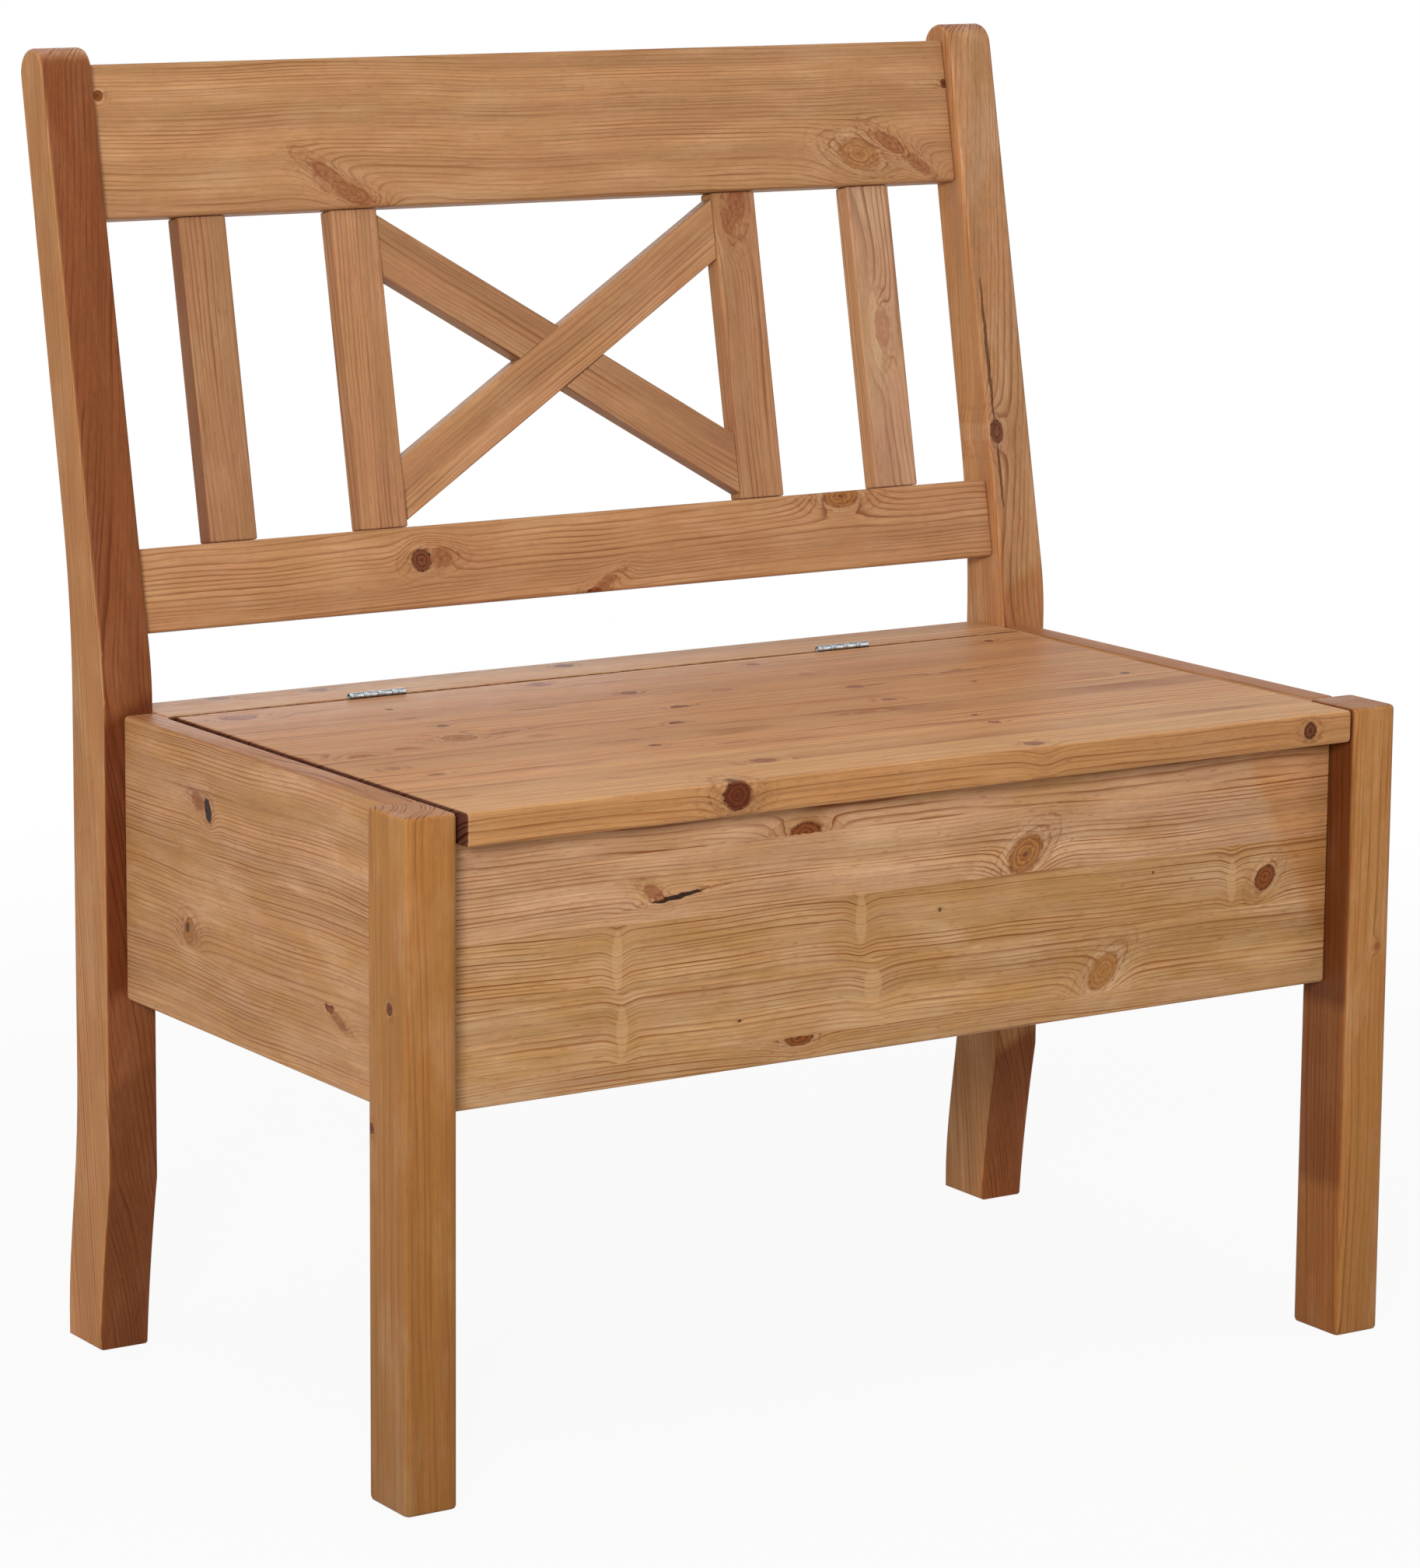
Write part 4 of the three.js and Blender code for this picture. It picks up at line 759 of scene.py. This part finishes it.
def beech():
    """Turned beech, unfinished: pale, even, with short darker flecks along the dowel."""
    material = new_material("beech_dowel")
    tree = material.node_tree
    spot = add(tree, "ShaderNodeTexCoord", output="Object")
    flecks = add(tree, VECTOR, {0: spot, 1: (1 / MM,) * 3}, operation="MULTIPLY")
    # Flecks are about 1 mm wide
    flecks = add(tree, NOISE, {"Vector": flecks, "Scale": 0.9, "Detail": 2.0})
    tint = add(tree, RANGE, {0: flecks, 1: 0.35, 2: 0.65})
    ends = {6: colour("#b98f5f"), 7: colour("#d2b084")}
    wood = add(tree, MIX, {0: tint, **ends}, output=2, data_type="RGBA")
    surface = add(tree, "ShaderNodeBsdfPrincipled", {"Base Color": wood, "Roughness": 0.65})
    add(tree, "ShaderNodeOutputMaterial", {"Surface": surface}, output=None)
    return material


def zinc():
    """Bright zinc plate on pressed steel: pale blue-grey mirror-like metal with faint cloudy marks."""
    material = new_material("zinc_plated_steel")
    tree = material.node_tree
    spot = add(tree, "ShaderNodeTexCoord", output="Object")
    cloud = add(tree, VECTOR, {0: spot, 1: (1 / MM,) * 3}, operation="MULTIPLY")
    # Clouds are about 3 mm wide
    cloud = add(tree, NOISE, {"Vector": cloud, "Scale": 0.35, "Detail": 3.0})
    tint = add(tree, RANGE, {0: cloud, 1: 0.35, 2: 0.65})
    ends = {6: colour("#8f979d"), 7: colour("#c0c5c7")}
    plated = add(tree, MIX, {0: tint, **ends}, output=2, data_type="RGBA")
    dull = add(tree, RANGE, {0: cloud, 1: 0.3, 2: 0.7, 3: 0.22, 4: 0.36})
    look = {"Base Color": plated, "Roughness": dull, "Metallic": 1.0}
    surface = add(tree, "ShaderNodeBsdfPrincipled", look)
    add(tree, "ShaderNodeOutputMaterial", {"Surface": surface}, output=None)
    return material


# Hinges: the pin lies over the seam behind the lid, and a leaf is let into each side of that seam
SEAM = 1.5 * MM
LEAF = 1.2 * MM
KNUCKLES = 4
KNUCKLE_GAP = 0.4 * MM
CURL = math.radians(318)
CURL_STEPS = 28
# Edges of metal that turn by more than the first angle are broken by this much, and past the second
# angle they are shaded sharp
BURR = 0.12 * MM
PRESSED_EDGE = math.radians(40)
CRISP = math.radians(35)
# Each leaf's side of the seam, to the front or to the rear, and its first knuckle
LEAVES = {"lid": (-1, 0), "fixed": (1, 1)}
# Cross recess as shares of the screw head's radius: half width, arm, depth, and size at its bottom
RECESS_HALF, RECESS_ARM, RECESS_DEPTH, RECESS_TAPER = 0.14, 0.42, 0.7, 0.7
# Length of a screw's point as a share of its shank's radius, and how blunt it ends
POINT, BLUNT = 3, 0.15
HINGE_SCREW = {"head_height": 1.5 * MM, "shank": 1.4 * MM, "proud": 0.05 * MM}
BATTEN_SCREW = {"head_height": 2.4 * MM, "shank": 2.0 * MM}


def metal(shape, name, node, burr=BURR):
    """Breaks the sharp edges of a pressed piece and shows it in place of its node."""
    bmesh.ops.recalc_face_normals(shape, faces=shape.faces)
    sharp = [edge for edge in shape.edges if edge.calc_face_angle(0) > PRESSED_EDGE]
    bmesh.ops.bevel(
        shape, geom=sharp, offset=burr, segments=2, profile=0.5, affect="EDGES", material=-1,
        clamp_overlap=True,
    )
    for face in shape.faces:
        face.smooth = True
    mesh = bpy.data.meshes.new(name)
    shape.to_mesh(mesh)
    shape.free()
    mesh.set_sharp_from_angle(angle=CRISP)
    mesh.materials.append(ZINC)
    piece = bpy.data.objects.new(name, mesh)
    bpy.context.scene.collection.objects.link(piece)
    stand_for(piece, node)


def corners(made):
    """The vertices among what an operator made."""
    return [part for part in made if isinstance(part, bmesh.types.BMVert)]


def plate(shape, low, high):
    """A flat piece of the leaf between two corners."""
    place = Matrix.LocRotScale((low + high) / 2, None, high - low)
    bmesh.ops.create_cube(shape, size=1.0, matrix=place)


def leaf(hand, body):
    """A pressed leaf whose knuckles are rolled from the same strip, with their slit underneath."""
    rear, first = LEAVES[body]
    node = f"hinge_{body}_leaf_{hand}"
    axis = middle(f"hinge_pin_{hand}")
    low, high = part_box(node)
    barrel = high.z - axis.z
    pitch = (high.x - low.x) / KNUCKLES
    strip = pitch - KNUCKLE_GAP
    starts = [low.x + knuckle * pitch + KNUCKLE_GAP / 2 for knuckle in range(first, KNUCKLES, 2)]
    shape = bmesh.new()
    # Each knuckle starts as an edge under the barrel, is rolled over it and is drawn out along it
    lean = rear * math.asin((SEAM / 2 + LEAF / 2) / (barrel - LEAF / 2))
    outward = Vector((0, math.sin(lean), -math.cos(lean)))
    for start in starts:
        foot = Vector((start, axis.y, axis.z))
        ends = [shape.verts.new(foot + outward * radius) for radius in (barrel - LEAF, barrel)]
        shape.edges.new(ends)
    drawn = shape.verts[:] + shape.edges[:]
    bmesh.ops.spin(shape, geom=drawn, cent=axis, axis=ALONG, angle=rear * CURL, steps=CURL_STEPS)
    drawn = bmesh.ops.extrude_face_region(shape, geom=shape.faces[:])["geom"]
    bmesh.ops.translate(shape, verts=corners(drawn), vec=ALONG * strip)
    near, far = sorted(axis.y + rear * depth for depth in (SEAM / 2, SEAM / 2 + LEAF))
    shoulder = axis.z - barrel - KNUCKLE_GAP
    plate(shape, Vector((low.x, near, low.z)), Vector((high.x, far, shoulder)))
    for start in starts:
        top = axis.z + outward.z * (barrel - LEAF / 2)
        plate(shape, Vector((start, near, low.z + LEAF)), Vector((start + strip, far, top)))
    metal(shape, f"rolled_{node}", node)


def pin(hand):
    """A drawn pin with its ends chamfered."""
    node = f"hinge_pin_{hand}"
    low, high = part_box(node)
    shape = bmesh.new()
    place = Matrix.Translation(middle(node)) @ Matrix.Rotation(math.pi / 2, 4, "Y")
    radius = (high.z - low.z) / 2
    bmesh.ops.create_cone(
        shape, cap_ends=True, segments=32, radius1=radius, radius2=radius,
        depth=high.x - low.x, matrix=place,
    )
    metal(shape, f"drawn_{node}", node, burr=0.3 * MM)


def screw(node, outward, head_height, shank, proud=0.0):
    """A countersunk wood screw with a cross recess; its head faces outward."""
    low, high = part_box(node)
    size = high - low
    length = max(size)
    head = min(size) / 2
    shape = bmesh.new()

    # The cross: a square, with an arm drawn out from each of its edges
    bmesh.ops.create_grid(shape, x_segments=1, y_segments=1, size=head * RECESS_HALF)
    for edge in shape.edges[:]:
        arm = corners(bmesh.ops.extrude_edge_only(shape, edges=[edge])["geom"])
        run = (arm[0].co + arm[1].co).normalized()
        bmesh.ops.translate(shape, verts=arm, vec=run * head * RECESS_ARM)
    cross = shape.faces[:]
    outline = [edge for edge in shape.edges if edge.is_boundary]
    bmesh.ops.create_circle(shape, segments=24, radius=head)
    ring = [edge for edge in shape.edges if edge.is_wire]
    bmesh.ops.bridge_loops(shape, edges=outline + ring)
    sunk = corners(bmesh.ops.extrude_face_region(shape, geom=cross)["geom"])
    bmesh.ops.delete(shape, geom=cross, context="FACES_ONLY")
    bmesh.ops.scale(shape, verts=sunk, vec=(RECESS_TAPER, RECESS_TAPER, 1.0))
    bmesh.ops.translate(shape, verts=sunk, vec=(0, 0, -head_height * RECESS_DEPTH))

    # The cone under the head, the shank and its point
    point = POINT * shank
    for wide, deep in ((shank / head, head_height), (1.0, length - head_height - point), (BLUNT, point)):
        made = bmesh.ops.extrude_edge_only(shape, edges=ring)["geom"]
        bmesh.ops.scale(shape, verts=corners(made), vec=(wide, wide, 1.0))
        bmesh.ops.translate(shape, verts=corners(made), vec=(0, 0, -deep))
        ring = [edge for edge in made if isinstance(edge, bmesh.types.BMEdge) and edge.is_boundary]
    bmesh.ops.contextual_create(shape, geom=[edge for edge in shape.edges if edge.is_boundary])

    top = middle(node) + outward * (length / 2 + proud)
    turn = outward.to_track_quat("Z", "X").to_matrix().to_4x4()
    bmesh.ops.transform(shape, matrix=Matrix.Translation(top) @ turn, verts=shape.verts)
    metal(shape, f"turned_{node}", node, burr=0.06 * MM)


BEECH = beech()
ZINC = zinc()
for hand in ("left", "right"):
    pin(hand)
    for body, (rear, first) in LEAVES.items():
        leaf(hand, body)
        for end in (1, 2):
            screw(f"hinge_screw_{body}_{hand}_{end}", -rear * DEEP, **HINGE_SCREW)
    for end in (1, 2):
        screw(f"batten_screw_{hand}_{end}", -UP, **BATTEN_SCREW)

# What is left are the dowels
for part in frame["nodes"].values():
    if part.hide_render:
        continue
    for place in part.material_slots:
        place.link = "OBJECT"
        place.material = BEECH


# Studio: light of the world on the bench, and the floor in metres, which grows fully white outwards
WORLD_LEVEL = 0.31
FLOOR_RADIUS = 14.0
FLOOR_WHITE = 0.93
WHITE_START, WHITE_END = 0.8, 2.2


def shows_white(tree):
    """1 for what the camera sees, straight or by way of metal or glass, and 0 for light on the bench."""
    path = add(tree, "ShaderNodeLightPath", output=None)
    seen = {0: path["Is Camera Ray"], 1: path["Is Transmission Ray"]}
    seen = add(tree, MATH, seen, operation="MAXIMUM")
    return add(tree, MATH, {0: seen, 1: path["Is Glossy Ray"]}, operation="MAXIMUM")


def studio_floor():
    """A wide pale floor that shows white to the camera, and still takes a soft shadow."""
    shape = bmesh.new()
    bmesh.ops.create_circle(shape, cap_ends=True, segments=96, radius=FLOOR_RADIUS)
    mesh = bpy.data.meshes.new("studio_floor")
    shape.to_mesh(mesh)
    shape.free()
    material = new_material("pale_floor")
    tree = material.node_tree
    spot = add(tree, "ShaderNodeTexCoord", output="Object")
    away = add(tree, VECTOR, {0: spot}, output=1, operation="LENGTH")
    white = {0: away, 1: WHITE_START, 2: WHITE_END, 3: FLOOR_WHITE}
    white = add(tree, RANGE, white, interpolation_type="SMOOTHSTEP")
    share = add(tree, MATH, {0: shows_white(tree), 1: white}, operation="MULTIPLY")
    lit = add(tree, "ShaderNodeBsdfDiffuse", {"Color": colour("#cfcbc6")})
    glow = add(tree, "ShaderNodeEmission", {"Color": colour("#ffffff"), "Strength": 1.0})
    surface = add(tree, "ShaderNodeMixShader", {0: share, 1: lit, 2: glow})
    add(tree, "ShaderNodeOutputMaterial", {"Surface": surface}, output=None)
    mesh.materials.append(material)
    floor = bpy.data.objects.new("studio_floor", mesh)
    bpy.context.scene.collection.objects.link(floor)


def studio_world():
    """Even white surroundings: white to the camera and to reflections, softer as light."""
    world = bpy.data.worlds.new("studio")
    world.use_nodes = True
    tree = world.node_tree
    tree.nodes.clear()
    strength = add(tree, RANGE, {0: shows_white(tree), 3: WORLD_LEVEL})
    light = add(tree, "ShaderNodeBackground", {"Color": colour("#ffffff"), "Strength": strength})
    add(tree, "ShaderNodeOutputWorld", {"Surface": light}, output=None)
    bpy.context.scene.world = world


def softbox(name, place, target, size, power):
    """A square lamp that faces the target; its size is in metres and its power in watts."""
    lamp = bpy.data.lights.new(name, "AREA")
    lamp.size = size
    lamp.energy = power
    lamp_object = bpy.data.objects.new(name, lamp)
    lamp_object.location = place
    aim = Vector(target) - Vector(place)
    lamp_object.rotation_euler = aim.to_track_quat("-Z", "Y").to_euler()
    bpy.context.scene.collection.objects.link(lamp_object)


# Camera at the photograph's place, turned down and to the right, and leaning a little
CAMERA_PLACE = (-2.171, -3.3163, 1.1833)
CAMERA_DOWN = math.radians(9.942)
CAMERA_RIGHT = math.radians(33.158)
CAMERA_LEAN = math.radians(0.446)
# What the lamps face
SEAT = (0, 0, 0.4)
REAR = (0, 0, 0.45)

view = bpy.data.cameras.new("camera")
view.lens = 124.16
view.sensor_width = 36
view.shift_x = 0.001
view.shift_y = -0.06
camera = bpy.data.objects.new("camera", view)
camera.location = CAMERA_PLACE
turn = Matrix.Rotation(-CAMERA_RIGHT, 4, "Z") @ Matrix.Rotation(math.pi / 2 - CAMERA_DOWN, 4, "X")
camera.rotation_euler = (turn @ Matrix.Rotation(CAMERA_LEAN, 4, "Z")).to_euler()
bpy.context.scene.collection.objects.link(camera)
bpy.context.scene.camera = camera

studio_floor()
studio_world()
softbox("key_softbox", (-3.0, -3.5, 1.9), SEAT, 0.9, 142)
softbox("fill_softbox", (2.8, -2.4, 1.3), SEAT, 2.0, 17)
softbox("top_softbox", (-0.4, -0.2, 3.0), SEAT, 2.0, 22)
softbox("rear_softbox", (0.9, 3.4, 1.1), REAR, 2.2, 22)
bpy.context.scene.view_settings.view_transform = "Standard"
